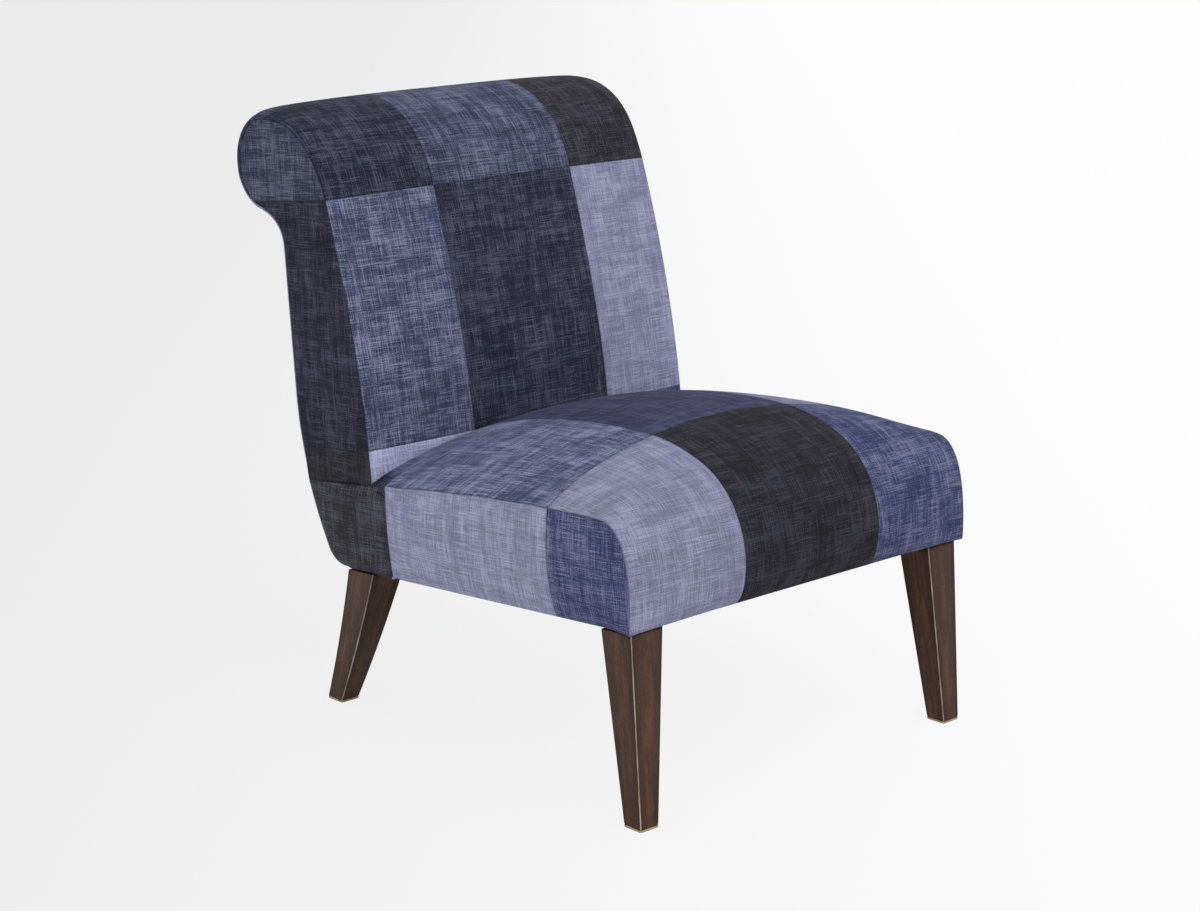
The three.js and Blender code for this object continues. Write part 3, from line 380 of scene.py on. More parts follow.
def swell(panel, shrink, cap):
    """Fills a panel as foam does, by cloth simulation.

    The grid is drawn in along its normals, fully from the fifth row within its border, and blown out with
    its border held. Each point's way is then limited to cap * tanh(way / cap). Columns close to a seam are
    left out of it, and follow the ones beside them by straight interpolation.
    """
    reach = summed(np.linalg.norm(np.diff(panel.points, axis=1), axis=-1).mean(axis=0))
    wide = [0]
    for column in range(1, len(reach) - 1):
        if min(reach[column] - reach[wide[-1]], reach[-1] - reach[column]) > SWELL_PITCH:
            wide.append(column)
    wide.append(len(reach) - 1)
    points = panel.points[:, wide]
    rows, columns = points.shape[:2]
    r, c = np.meshgrid(np.arange(rows), np.arange(columns), indexing="ij")
    border = np.minimum(np.minimum(r, rows - 1 - r), np.minimum(c, columns - 1 - c))
    start = points - panel.normals()[:, wide] * shrink * smooth(border, 0, 5)[..., None]
    way = blown_out(start, grid_quads(rows, columns, panel.flip), border == 0) - start
    far = np.maximum(np.linalg.norm(way, axis=-1, keepdims=True), 1e-9)
    moved = start + way / far * cap * np.tanh(far / cap) - points
    left = np.clip(np.searchsorted(reach[wide], reach, side="right") - 1, 0, columns - 2)
    share = ((reach - reach[wide][left]) / np.diff(reach[wide])[left])[None, :, None]
    panel.points = panel.points + moved[:, left] * (1 - share) + moved[:, left + 1] * share


def blown_out(start, quads, border):
    """A grid's points after some frames of cloth simulation under pressure, with its border held."""
    mesh = bpy.data.meshes.new("swelling")
    mesh.from_pydata(start.reshape(-1, 3).tolist(), [], quads.tolist())
    piece = bpy.data.objects.new("swelling", mesh)
    scene = bpy.context.scene
    scene.collection.objects.link(piece)
    held = piece.vertex_groups.new(name="held")
    held.add(np.flatnonzero(border.ravel()).tolist(), 1.0, "REPLACE")
    cloth = piece.modifiers.new("cloth", "CLOTH")
    cloth.settings.quality = 6
    cloth.settings.mass = 0.3
    cloth.settings.use_pressure = True
    cloth.settings.uniform_pressure_force = SWELL_PRESSURE
    cloth.settings.effector_weights.gravity = 0
    cloth.settings.vertex_group_mass = "held"
    cloth.collision_settings.use_collision = False
    cloth.point_cache.frame_start = 1
    cloth.point_cache.frame_end = SWELL_FRAMES
    for number in range(1, SWELL_FRAMES + 1):
        scene.frame_set(number)
    shaped = piece.evaluated_get(bpy.context.evaluated_depsgraph_get()).to_mesh()
    after = np.empty(len(shaped.vertices) * 3)
    shaped.vertices.foreach_get("co", after)
    piece.to_mesh_clear()
    bpy.data.objects.remove(piece)
    bpy.data.meshes.remove(mesh)
    scene.frame_set(1)
    return after.reshape(start.shape)


# Making pieces


def keep(name, mesh, nodes):
    """Makes a mesh an object of the chair that stands for the CAD nodes named."""
    piece = bpy.data.objects.new(name, mesh)
    bpy.context.scene.collection.objects.link(piece)
    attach(piece, "root")
    if nodes:
        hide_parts(*nodes)
    return piece


def sew(name, panel, patches, nodes):
    """Makes a panel a piece of cloth, one material for each patch, and gives it its thickness inwards.

    Points in one place become one vertex, so that a row which closes to a point is a pole.
    """
    flat = panel.points.reshape(-1, 3)
    microns = np.round(flat / 1e-6).astype(np.int64)
    _, first, index = np.unique(microns, axis=0, return_index=True, return_inverse=True)
    index = index.ravel()
    quads = panel.quads()
    corners = index[quads]
    closes = (corners != np.roll(corners, -1, axis=1)).all(axis=1)
    pole = ~closes
    keeps = np.stack([corners[:, k] != corners[:, (k + 1) % 4] for k in range(4)], axis=1)
    triangles = quads[pole][keeps[pole]].reshape(-1, 3) if pole.any() else np.zeros((0, 3), int)
    faces = index[quads[closes]].tolist() + index[triangles].tolist()
    face_patch = np.concatenate([panel.patch[closes], panel.patch[pole]])
    origins = np.concatenate([quads[closes].ravel(), triangles.ravel()])
    loop_patch = np.concatenate([np.repeat(panel.patch[closes], 4), np.repeat(panel.patch[pole], 3)])
    mesh = bpy.data.meshes.new(name)
    mesh.from_pydata(flat[first].tolist(), [], faces)
    mesh.polygons.foreach_set("material_index", face_patch)
    mesh.shade_smooth()
    threads = panel.threads.reshape(-1, 2)[origins] + loop_patch[:, None] * np.array(PATCH_SHIFT)
    mesh.uv_layers.new(name="threads").data.foreach_set("uv", threads.ravel())
    # The seams' distances and the painted shade go to the mesh as point attributes
    for key, values in (("seam", panel.seam), ("crease", panel.crease)):
        mesh.attributes.new(key, "FLOAT", "POINT").data.foreach_set("value", values.ravel()[first])
    for patch in patches:
        mesh.materials.append(cloth(*patch))
    piece = keep(name, mesh, nodes)
    rounding = piece.modifiers.new("rounding", "SUBSURF")
    rounding.levels = rounding.render_levels = 1
    rounding.boundary_smooth = "PRESERVE_CORNERS"
    wall = piece.modifiers.new("thickness", "SOLIDIFY")
    wall.thickness = COVER
    wall.offset = -1
    return piece


# Materials


class Tree:
    """Short calls for a node tree."""

    def __init__(self, tree):
        self.tree = tree
        tree.nodes.clear()

    def add(self, kind, **settings):
        node = self.tree.nodes.new(kind)
        for key, value in settings.items():
            setattr(node, key, value)
        return node

    def join(self, source, target):
        self.tree.links.new(source, target)

    def fill(self, socket, value):
        """Joins a socket to another, or gives it a constant."""
        if isinstance(value, bpy.types.NodeSocket):
            self.join(value, socket)
        else:
            socket.default_value = value

    def fill_all(self, node, *values):
        """Fills a node's sockets in order, and gives its first output."""
        for socket, value in zip(node.inputs, values):
            self.fill(socket, value)
        return node.outputs[0]

    def math(self, operation, *values):
        return self.fill_all(self.add("ShaderNodeMath", operation=operation), *values)

    def mix(self, share, first, second):
        """Mixes two shaders."""
        return self.fill_all(self.add("ShaderNodeMixShader"), share, first, second)


class Nodes(Tree):
    """Short calls for a material's node tree."""

    def __init__(self, name):
        self.material = bpy.data.materials.new(name)
        self.material.use_nodes = True
        super().__init__(self.material.node_tree)
        self.shader = self.add("ShaderNodeBsdfPrincipled")
        self.output = self.add("ShaderNodeOutputMaterial")
        self.join(self.shader.outputs[0], self.output.inputs["Surface"])

    def scaled(self, vector, scale, turn=0.0):
        node = self.add("ShaderNodeMapping")
        self.fill(node.inputs["Vector"], vector)
        node.inputs["Scale"].default_value = scale
        node.inputs["Rotation"].default_value = (0, 0, turn)
        return node.outputs[0]

    def noise(self, vector, scale=1.0, detail=2.0, roughness=0.5, distortion=0.0, flat=False):
        node = self.add("ShaderNodeTexNoise", noise_dimensions="2D" if flat else "3D")
        self.fill(node.inputs["Vector"], vector)
        node.inputs["Scale"].default_value = scale
        node.inputs["Detail"].default_value = detail
        node.inputs["Roughness"].default_value = roughness
        node.inputs["Distortion"].default_value = distortion
        return node.outputs["Fac"]

    def drawn(self, vector, stretch, **settings):
        """Noise on a vector that is scaled by its own factor along each axis."""
        return self.noise(self.scaled(vector, stretch), **settings)

    def attribute(self, name, output="Fac"):
        return self.add("ShaderNodeAttribute", attribute_name=name).outputs[output]

    def split(self, vector):
        """The x, y and z of a vector."""
        node = self.add("ShaderNodeSeparateXYZ")
        self.join(vector, node.inputs[0])
        return node.outputs

    def wave(self, value, length):
        """The sine of a coordinate, half a wave long for each length."""
        return self.math("SINE", self.math("MULTIPLY", value, math.pi / length))

    def plus(self, value, other, weight):
        """A value and a share of another."""
        return self.math("ADD", value, self.math("MULTIPLY", other, weight))

    def ranged(self, value, low, high, to_low, to_high, kind="LINEAR"):
        node = self.add("ShaderNodeMapRange", interpolation_type=kind)
        return self.fill_all(node, value, low, high, to_low, to_high)

    def ramp(self, value, stops):
        """A colour ramp from (place, colour) stops."""
        node = self.add("ShaderNodeValToRGB")
        self.fill(node.inputs[0], value)
        elements = node.color_ramp.elements
        while len(elements) < len(stops):
            elements.new(0.5)
        for element, (position, tone) in zip(elements, stops):
            element.position = position
            element.color = (*tone, 1.0)
        return node.outputs[0]

    def blend(self, kind, share, a, b):
        """Mixes two colours: share 0 gives a, 1 gives b blended over it."""
        node = self.add("ShaderNodeMix", data_type="RGBA", blend_type=kind)
        self.fill(node.inputs[0], share)
        self.fill(node.inputs[6], a)
        self.fill(node.inputs[7], b)
        return node.outputs[2]

    def bump(self, height, distance, strength, under=None):
        node = self.add("ShaderNodeBump")
        node.inputs["Distance"].default_value = distance
        node.inputs["Strength"].default_value = strength
        self.fill(node.inputs["Height"], height)
        if under is not None:
            self.join(under, node.inputs["Normal"])
        return node.outputs[0]

    def coordinates(self):
        """Object coordinates."""
        return self.add("ShaderNodeTexCoord").outputs["Object"]

    def shine(self, **values):
        """Constants on the shader's own sockets."""
        for name, value in values.items():
            self.shader.inputs[name.replace("_", " ")].default_value = value

    def finish(self, tone, roughness, normal):
        self.fill(self.shader.inputs["Base Color"], tone)
        self.fill(self.shader.inputs["Roughness"], roughness)
        self.join(normal, self.shader.inputs["Normal"])
        return self.material


def toned(tone, factor):
    """A colour made lighter or darker by a factor, kept within 0 and 1."""
    return tuple(min(1.0, max(0.0, channel * factor)) for channel in tone)


def between(tone, other, share):
    """A colour part of the way from one to another."""
    return tuple(a + (b - a) * share for a, b in zip(tone, other))


CLOTHS = {}


def linen(name, tone, pale):
    """Slubbed linen-look cloth, faded in clouds.

    Two noises drawn out along the warp and the weft shade single threads, and two longer ones make slubs.
    A cloud with a grain both ways lifts whole regions, and its sum with the threads picks the tone, from
    the dyed ground to pale worn threads. A sine weave and the threads give the bump. A thin dark line
    runs where the seam attribute falls to nothing, and painted shade darkens the cloth down in its folds.
    """
    if name in CLOTHS:
        return CLOTHS[name]
    n = Nodes(name)
    thread = n.add("ShaderNodeUVMap", uv_map="threads").outputs[0]

    def drawn(across, along, detail, roughness=0.5):
        return n.drawn(thread, (across, along, 1), detail=detail, roughness=roughness, flat=True)

    warp, weft = drawn(1150, 32, 1.5, 0.6), drawn(32, 1150, 1.5, 0.6)
    slub_warp, slub_weft = drawn(700, 13, 2, 0.65), drawn(13, 700, 2, 0.65)
    cloud, band_warp, band_weft = drawn(17, 17, 3), drawn(80, 9, 1), drawn(9, 80, 1)
    fine = n.math("ADD", warp, weft)
    slubs = n.math("MAXIMUM", slub_warp, slub_weft)
    worn = n.math("ADD", n.math("MULTIPLY", cloud, 1.3), n.math("ADD", band_warp, band_weft))
    threads = n.math("ADD", n.ranged(fine, 0.6, 1.4, -0.74, 0.74), n.ranged(slubs, 0.42, 0.78, -0.30, 0.64))
    threads = n.math("ADD", threads, n.ranged(drawn(900, 900, 1), 0.25, 0.75, -0.42, 0.42))
    shade = n.math("ADD", threads, n.ranged(worn, 1.15, 2.15, 0.06, 0.72))
    tones = n.ramp(shade, [
        (0.12, toned(tone, 0.66)), (0.42, toned(tone, 0.95)), (0.62, between(tone, pale, 0.3)), (0.95, pale),
    ])
    near = n.attribute("seam")
    stitched = n.ranged(near, 0.0002, 0.0016, 0.66, 1.0, "SMOOTHSTEP")
    # Painted shade darkens the cloth down in its folds, on top of the seam's dark line
    seam_and_painted_shade = n.math("MULTIPLY", stitched, n.ranged(n.attribute("crease"), 0.0, 1.0, 1.0, 0.15))
    toning = n.fill_all(n.add("ShaderNodeCombineColor"), seam_and_painted_shade, seam_and_painted_shade, seam_and_painted_shade)
    final = n.blend("MULTIPLY", 1.0, tones, toning)
    across, along, _ = n.split(thread)
    weave = n.math("MULTIPLY", n.wave(across, THREAD_PITCH), n.wave(along, THREAD_PITCH))
    raised = n.bump(n.plus(threads, weave, 0.16), 0.0007, 0.45)
    groove = n.bump(n.ranged(near, 0.0, 0.0026, 0.0, 1.0, "SMOOTHSTEP"), 0.0010, 0.7, under=raised)
    n.shine(Specular_IOR_Level=0.22, Sheen_Weight=0.10, Sheen_Roughness=0.5, Sheen_Tint=(*toned(tone, 2.0), 1.0))
    CLOTHS[name] = n.finish(final, n.ranged(shade, 0.2, 0.9, 0.97, 0.86), groove)
    return CLOTHS[name]


def cloth(shade, level):
    """The linen of one of the named dyes, made lighter or darker by a level, which is partly the patch's own fading and
    partly painted light and shade.
    """
    tones = bpy.context.scene.slipper_colours
    tone = tuple(getattr(tones, shade))
    pale = between(tone, tuple(tones.worn), FADES[shade])
    return linen(f"linen_{shade}_{round(level * 100):03d}", toned(tone, level), toned(pale, level))


def walnut(name, dark, light, worn):
    """Dark stained wood with a satin lacquer.

    Noises drawn out along the leg make the grain and the pores, and a rounder one mottles it. Painted
    shade makes each face darker towards its border, and the arris attribute, broken up by noise, shows
    worn wood with a painted highlight along the long edges.
    """
    n = Nodes(name)
    grain = n.attribute("grain", "Vector")
    broad = n.drawn(grain, (62, 62, 9), detail=4, roughness=0.6, distortion=0.9)
    streak = n.drawn(grain, (260, 260, 16), detail=4, roughness=0.6, distortion=0.3)
    pores = n.drawn(grain, (1100, 1100, 60), detail=2, roughness=0.7)
    mottle = n.drawn(grain, (300, 300, 190), detail=3, roughness=0.6)
    figure = n.plus(n.plus(n.math("MULTIPLY", broad, 0.55), streak, 0.22), mottle, 0.23)
    base = n.ramp(figure, [
        (0.34, toned(dark, 0.66)), (0.46, dark), (0.56, toned(light, 0.80)), (0.68, toned(light, 1.15)),
    ])
    pitted = n.blend("MULTIPLY", n.ranged(pores, 0.56, 0.70, 0, 0.45), base, (*toned(dark, 3.2), 1.0))
    # Painted shade: each face darker towards its border, lighter in its middle
    border = n.ranged(n.attribute("border"), 0.25, 1.0, 0, 0.52, "SMOOTHSTEP")
    stained = n.blend("MULTIPLY", border, pitted, (0, 0, 0, 1))
    # Worn wood and painted highlight along the long edges, patchy by noise
    edge = n.ranged(n.attribute("arris"), 0.35, 0.95, 0, 1, "SMOOTHSTEP")
    edge_patchiness = n.drawn(grain, (60, 60, 28), detail=4, roughness=0.6)
    wear_and_highlight = n.math("MULTIPLY", edge, n.ranged(edge_patchiness, 0.3, 0.62, 0.25, 0.9))
    final = n.blend("MIX", wear_and_highlight, stained, (*worn, 1.0))
    n.shine(Specular_IOR_Level=0.30, Coat_Weight=0.05, Coat_Roughness=0.35)
    normal = n.bump(n.math("SUBTRACT", figure, n.ranged(pores, 0.56, 0.7, 0, 0.6)), 0.0004, 0.45)
    return n.finish(final, n.ranged(figure, 0.3, 0.7, 0.52, 0.38), normal)


def bare_wood(name, dark, light, along, board=False):
    """Bare timber, plywood or board on Object coordinates.

    The grain is a noise drawn out along one axis. Board shows chips instead, the cells of a Voronoi.
    """
    n = Nodes(name)
    space = n.coordinates()
    if board:
        chips = n.add("ShaderNodeTexVoronoi")
        n.join(n.scaled(space, (260, 90, 260)), chips.inputs["Vector"])
        chips.inputs["Scale"].default_value = 1.0
        pattern = n.math("ADD", n.math("MULTIPLY", chips.outputs["Distance"], 0.6), n.noise(space, 40, 3))
    else:
        stretch = [130.0, 130.0, 130.0]
        stretch[along] = 7.0
        pattern = n.drawn(space, stretch, detail=5, roughness=0.62, distortion=0.5)
    tones = n.ramp(pattern, [(0.3, dark), (0.7, light)])
    fibre = n.drawn(space, (700, 700, 700))
    n.shine(Specular_IOR_Level=0.25)
    return n.finish(tones, n.ranged(fibre, 0.3, 0.7, 0.72, 0.9), n.bump(n.plus(pattern, fibre, 0.4), 0.0005, 0.5))


def metal(name, tone, rough):
    """Drawn or plated metal: fine scratches along one axis and dull spots in its roughness."""
    n = Nodes(name)
    space = n.coordinates()
    scratch = n.drawn(space, (900, 900, 60), detail=3)
    dull = n.noise(space, scale=70, detail=3)
    tones = n.ramp(dull, [(0.35, toned(tone, 0.86)), (0.65, toned(tone, 1.08))])
    n.shine(Metallic=1.0)
    return n.finish(tones, n.ranged(dull, 0.3, 0.7, rough * 0.8, rough * 1.25), n.bump(scratch, 0.0002, 0.35))


def fibres(name, tone, scale, relief, knots=0.0):
    """Felt, jute webbing, non-woven cloth or moulded plastic: matted noise, with woven bands if knots."""
    n = Nodes(name)
    space = n.coordinates()
    mat = n.noise(space, scale=scale, detail=4, roughness=0.7)
    broad = n.noise(space, scale=scale / 12)
    pattern = n.plus(n.math("MULTIPLY", mat, 0.7), broad, 0.3)
    if knots:
        x, _, z = n.split(space)
        pattern = n.plus(pattern, n.math("MULTIPLY", n.wave(x, knots), n.wave(z, knots)), 0.25)
    tones = n.ramp(pattern, [(0.3, toned(tone, 0.68)), (0.5, tone), (0.72, toned(tone, 1.35))])
    n.shine(Specular_IOR_Level=0.25)
    return n.finish(tones, n.ranged(pattern, 0.3, 0.7, 0.95, 0.8), n.bump(pattern, relief, 0.6))


# The seat


def seat_half_at(y, seat, back):
    """Half the seat's width: full in front, and less by the square of the way into its last stretch.

    That way, from 0 to 1, comes with it.
    """
    into = np.clip((y - (seat.depth - seat.draw_in)) / seat.draw_in, 0, 1)
    return seat.width / 2 - back.set_in * into**2, into


def seat_lines(seat, back):
    """The seat's side seam and middle line, sampled together from the underside up and back.

    Each is three cubic Beziers end to end. The samples are even along the side seam.
    """
    seam_end = [1 - SEAT_BACK_GAP / seat.depth, REAR_SEAM_HEIGHT / seat.seam_height]
    crown_end = [1 - (back.crown + SEAT_BACK_GAP) / seat.depth, JUNCTION_HEIGHT / seat.crown_height]
    edges = [*EDGE_SHARES[:2], [*EDGE_SHARES[2], seam_end]]
    crowns = [*CROWN_SHARES[:2], [*CROWN_SHARES[2], crown_end]]
    edge_scale = np.array([seat.depth, seat.seam_height])
    crown_scale = np.array([seat.depth, seat.crown_height])
    fine = np.linspace(0, 1, 2001)
    cut = np.interp(SEAT_END - CLEARANCE, cubic(edges[2], fine)[:, 0] * seat.depth, fine)
    # Which Bezier, from and to which parameter, and in how many steps
    spans = [(0, 0, 1, 26), (1, 0, 1, 15), (2, 0, cut, 54), (2, cut, 1, 7)]
    edge, crown = [], []
    for k, start, end, count in spans:
        t = even(lambda value: cubic(edges[k], value) * edge_scale, start, end, count)
        edge.append(cubic(edges[k], t) * edge_scale)
        crown.append(cubic(crowns[k], t) * crown_scale)
    edge, ends = chain(edge)
    crown, _ = chain(crown)
    lift = np.array([0, CLEARANCE])
    return np.maximum(edge, [-1, 0]) + lift, np.maximum(crown, [-1, 0]) + lift, ends


def eased(grid, seat):
    """The seat's front right corner made a little fuller: its points move out and up, most at the corner."""
    share = smooth(grid[..., 0], seat.width * 0.12, seat.width / 2) * (1 - 0.85 * smooth(grid[..., 1], 0.0, seat.depth))
    grid[..., 0] += seat.right_ease * share
    grid[..., 2] += seat.right_ease * 0.5 * share * np.clip(grid[..., 2] / seat.seam_height, 0, 1)
    return grid


def under_steps(seat):
    """The rows of cloth turned in under the frame: how far in, and how high over its underside."""
    return (seat.turn_under, 0.0016), (seat.turn_under / 2, 0.0008), (0.0016, 0.0001)


def seat_top(seat, back, edge, crown, ends):
    """The top and waterfall front in one: each row goes from side seam to middle line by the dome.

    Rows in front turn under the frame, mitred at the corners, and rows behind tuck down at the back.
    """
    half = seat.width / 2
    patch_half = PATCH_HALF / half
    across, seams = columns_at([-1, -patch_half, patch_half, 1], height=0.165, pitch=0.0202)
    share = dome(across)[None, :, None]
    yz = edge[:, None, :] * (1 - share) + crown[:, None, :] * share
    width, _ = seat_half_at(edge[:, 0], seat, back)
    outer = np.clip((np.abs(across) - patch_half) / (1 - patch_half), 0, 1)
    inner = np.minimum(np.abs(across) * half, PATCH_HALF)
    x = np.sign(across) * (inner + outer * (width[:, None] - PATCH_HALF))
    grid = np.concatenate([x[..., None], yz], axis=-1)
    beside = 1 - smooth((1 - np.abs(across)) * half, 0.004, seat.dip_width)
    dip = corner_dip(edge[:, 0], seat)[:, None] * beside[None]
    grid[..., 2] -= seat.dip * dip
    grid = eased(grid, seat)
    under = []
    for inset, height in under_steps(seat):
        row = grid[0].copy()
        reach = np.where(row[:, 0] > 0, row[-1, 0], -row[0, 0])
        row[:, 0] *= 1 - inset / seat.turn_under * (reach - FRAME_HALF) / reach
        row[:, 1] += inset
        row[:, 2] = height
        under.append(row)
    down = []
    for drop, back_off in ((0.004, -0.0004), (0.012, 0.0012), (0.024, 0.0034)):
        row = grid[-1].copy()
        row[:, 1] -= back_off
        row[:, 2] -= drop * (0.4 + 0.6 * dome(across))
        down.append(row)
    grid = np.concatenate([under, grid, down])
    first = len(under)
    hems = FIRST_COLUMN | LAST_COLUMN
    panel = Panel(grid, row_seams=[ends[1] + first], column_seams=seams, middle=len(across) // 2, hems=hems)
    # Painted shade: darker where the cloth dips at the rear corners, and darker still on the rows that go down behind
    panel.crease[first : first + len(dip)] = dip
    panel.crease[first + len(dip) - 1 :] = 0.6 + 0.4 * dip[-2]
    return panel


def corner_dip(y, seat):
    """Share of the dip behind the seat's side, where the cloth goes down between the seat and the back."""
    return smooth(y, SEAT_END - 0.003, SEAT_END + 0.016) * (1 - smooth(y, seat.depth - 0.007, seat.depth - 0.001))


def seat_side(side, seat, back, edge, ends):
    """The seat's side below its seam.

    In front of the patch seam it is a Coons patch between the front curve, the seam and the underside,
    and behind it upright lines. It swells by 4w(1-w) and tucks in by w^2, where w is the way down.
    """
    front, middle, rear = ends[:3]
    v = np.linspace(0, 1, front + 1)[:, None]
    floor = CLEARANCE
    left = edge[: front + 1]
    top = edge[front : middle + 1]
    u = np.linspace(0, 1, middle - front + 1)[None, :]
    seam_y, seam_z = top[-1]
    bottom = np.stack([seam_y * u[0], np.full(u.shape[1], floor)], axis=-1)
    right = np.stack([np.full(front + 1, seam_y), floor + (seam_z - floor) * v[:, 0]], axis=-1)
    v3, u3 = v[..., None], u[..., None]
    ruled = (1 - v3) * bottom[None] + v3 * top[None] + (1 - u3) * left[:, None] + u3 * right[:, None]
    corners = (1 - u3) * (1 - v3) * left[0] + u3 * (1 - v3) * right[0]
    corners = corners + (1 - u3) * v3 * left[-1] + u3 * v3 * right[-1]
    seam = edge[middle + 1 : rear + 1]
    upright_z = floor + (seam[None, :, 1] - floor) * v
    behind = np.stack([np.broadcast_to(seam[None, :, 0], upright_z.shape), upright_z], axis=-1)
    yz = np.concatenate([ruled - corners, behind], axis=1)
    y, z = yz[..., 0], yz[..., 1]
    upper = edge[: rear + 1]
    rising = upper[:, 0] >= 0
    top_at = np.interp(y, upper[rising, 0], upper[rising, 1])
    w = np.clip((top_at - z) / np.maximum(top_at - floor, 1e-9), 0, 1)
    width, into = seat_half_at(y, seat, back)
    share = smooth(y, 0, seat.corner_run) * (1 - into)
    swelled = share * (seat.side_swell * 4 * w * (1 - w) - seat.side_tuck * w**2)
    swelled[-1] = 0
    swelled[:, 0] = 0
    grid = np.stack([width + swelled, y, z], axis=-1)
    grid = grid if side < 0 else eased(grid, seat)
    under = []
    for inset, height in under_steps(seat):
        row = grid[0].copy()
        row[:, 0] -= inset * (row[:, 0] - FRAME_HALF) / seat.turn_under
        row[:, 1] = inset + (SEAT_END - inset) * row[:, 1] / SEAT_END
        row[:, 2] = height
        under.append(row)
    grid = np.concatenate([under, grid])
    wrap = []
    for inset, along in ((0.0012, 0.0002), (0.007, 0.0004), (0.014, 0.0006)):
        column = grid[:, -1].copy()
        column[:, 0] = np.minimum(column[:, 0], np.maximum(column[:, 0] - inset, WRAP_HALF))
        column[:, 1] += along
        wrap.append(column[:, None])
    grid = np.concatenate([grid, *wrap], axis=1)
    return side_panel(grid, side, column_seams=[middle - front], hems=LAST_ROW)


def seat_tuck(side, seat, back, edge, ends):
    """The sliver of seat cloth that goes down behind the seat's side, where the seat narrows to the back.

    Each column runs straight down from the seam, and comes in by the square of the way.
    """
    line = edge[ends[2] :].copy()
    line[:, 1] -= seat.dip * corner_dip(line[:, 0], seat)
    width, _ = seat_half_at(line[:, 0], seat, back)
    v = np.linspace(0, 1, 5)[:, None]
    z = line[None, :, 1] * v + (REAR_SEAM_HEIGHT - 0.012) * (1 - v)
    x = np.broadcast_to(width[None] - 0.0045 * (1 - v) ** 2, z.shape)
    y = np.broadcast_to(line[None, :, 0], z.shape)
    grid = np.stack([x, y, z], axis=-1)
    panel = side_panel(grid if side < 0 else eased(grid, seat), side, hems=LAST_ROW)
    # Painted shade over the sliver behind the seat's side, growing from the end of the side
    panel.crease[:] = smooth(line[:, 0], SEAT_END - 0.002, SEAT_END + 0.012)[None]
    return panel


# The back


def back_half(seat, back):
    """Half the back's width."""
    return seat.width / 2 - back.set_in


def back_lines(seat, back):
    """The back's outline in two halves, from the seam at its foot to the joint behind the roll, and its foot.

    The front half is a power curve, a Bezier into the roll and an arc of its circle. The rear half is
    the leaning line, which flares forward at the bottom by a square, a Bezier at the neck and the rest
    of the circle. Both halves have the same number of samples, and their breaks are level. The foot is
    the leaning line below the seam, and a Bezier that turns it under.
    """
    rise = back.roll_seam_height - REAR_SEAM_HEIGHT
    centre = np.array([seat.depth + back.roll_setback, back.roll_height])

    def front_line(z):
        share = np.clip((z - REAR_SEAM_HEIGHT) / rise, 0, 1)
        return np.stack([seat.depth + back.rake * share**RAKE_POWER, z], axis=-1)

    def rear_line(z):
        low = np.clip((back.flare_height - z) / back.flare_height, 0, 1)
        lean = seat.depth + back.thickness + back.lean * z / back.neck_height
        return np.stack([lean - back.flare * low**2, z], axis=-1)

    def on_roll(degrees):
        angle = np.radians(degrees)
        return centre + back.roll_radius * np.stack([np.cos(angle), np.sin(angle)], axis=-1)

    slope = np.array([RAKE_POWER * back.rake / rise, 1.0])
    top = front_line(np.array(back.roll_seam_height))
    crest = centre + [0, back.roll_radius]
    into_roll = [top, top + slope / np.linalg.norm(slope) * back.roll_rise, crest - [back.roll_rise, 0], crest]
    front = [
        front_line(even(front_line, REAR_SEAM_HEIGHT, STRIP_HEIGHT, 7)),
        front_line(even(front_line, STRIP_HEIGHT, back.roll_seam_height, 56)),
        cubic(into_roll, even(lambda t: cubic(into_roll, t), 0, 1, 29)),
        on_roll(np.linspace(90, JOINT_TURN, 20)),
    ]
    turn = math.radians(-NECK_TURN)
    low_roll = on_roll(NECK_TURN)
    neck = rear_line(np.array(back.neck_height))
    aim = np.array([math.sin(turn), math.cos(turn)]) * back.roll_radius
    at_neck = [neck, neck + [0, back.roll_radius * 0.33], low_roll - aim * 0.5, low_roll]
    seam_rear = REAR_SEAM_HEIGHT - 2 * CLEARANCE - back.seam_fall
    strip_rear = STRIP_HEIGHT - back.seam_fall
    rear = [
        rear_line(even(rear_line, seam_rear, strip_rear, 7)),
        rear_line(even(rear_line, strip_rear, back.neck_height, 41)),
        cubic(at_neck, even(lambda t: cubic(at_neck, t), 0, 1, 9)),
        on_roll(np.linspace(NECK_TURN, -60, 7)),
        on_roll(np.linspace(-60, -28, 30)),
        on_roll(np.linspace(-28, JOINT_TURN, 20)),
    ]
    corner = rear_line(np.array(UNDER_CORNER))
    end = np.array([back.under_end, 0.0])
    under = [corner, corner + [-0.0066, -0.012], end + [0.020, 0], end]
    foot = [
        rear_line(even(rear_line, seam_rear, UNDER_CORNER, 14)),
        cubic(under, even(lambda t: cubic(under, t), 0, 1, 12)),
    ]
    front, front_ends = chain(front)
    rear, _ = chain(rear)
    foot, _ = chain(foot)
    return front, front_ends, rear, foot


def outward(line, centre, on_roll):
    """Unit normals of an outline that runs clockwise seen from the right; on the roll they are radial."""
    run = np.gradient(line, axis=0)
    run /= np.linalg.norm(run, axis=1, keepdims=True)
    normal = np.stack([-run[:, 1], run[:, 0]], axis=-1)
    radial = line - centre
    radial /= np.linalg.norm(radial, axis=1, keepdims=True)
    return np.where(on_roll[:, None], radial, normal)


def drawn_in(line, normal, amount):
    """The line of a sewn seam: the outline moved inwards by an amount at each sample."""
    return line - normal * amount[:, None]


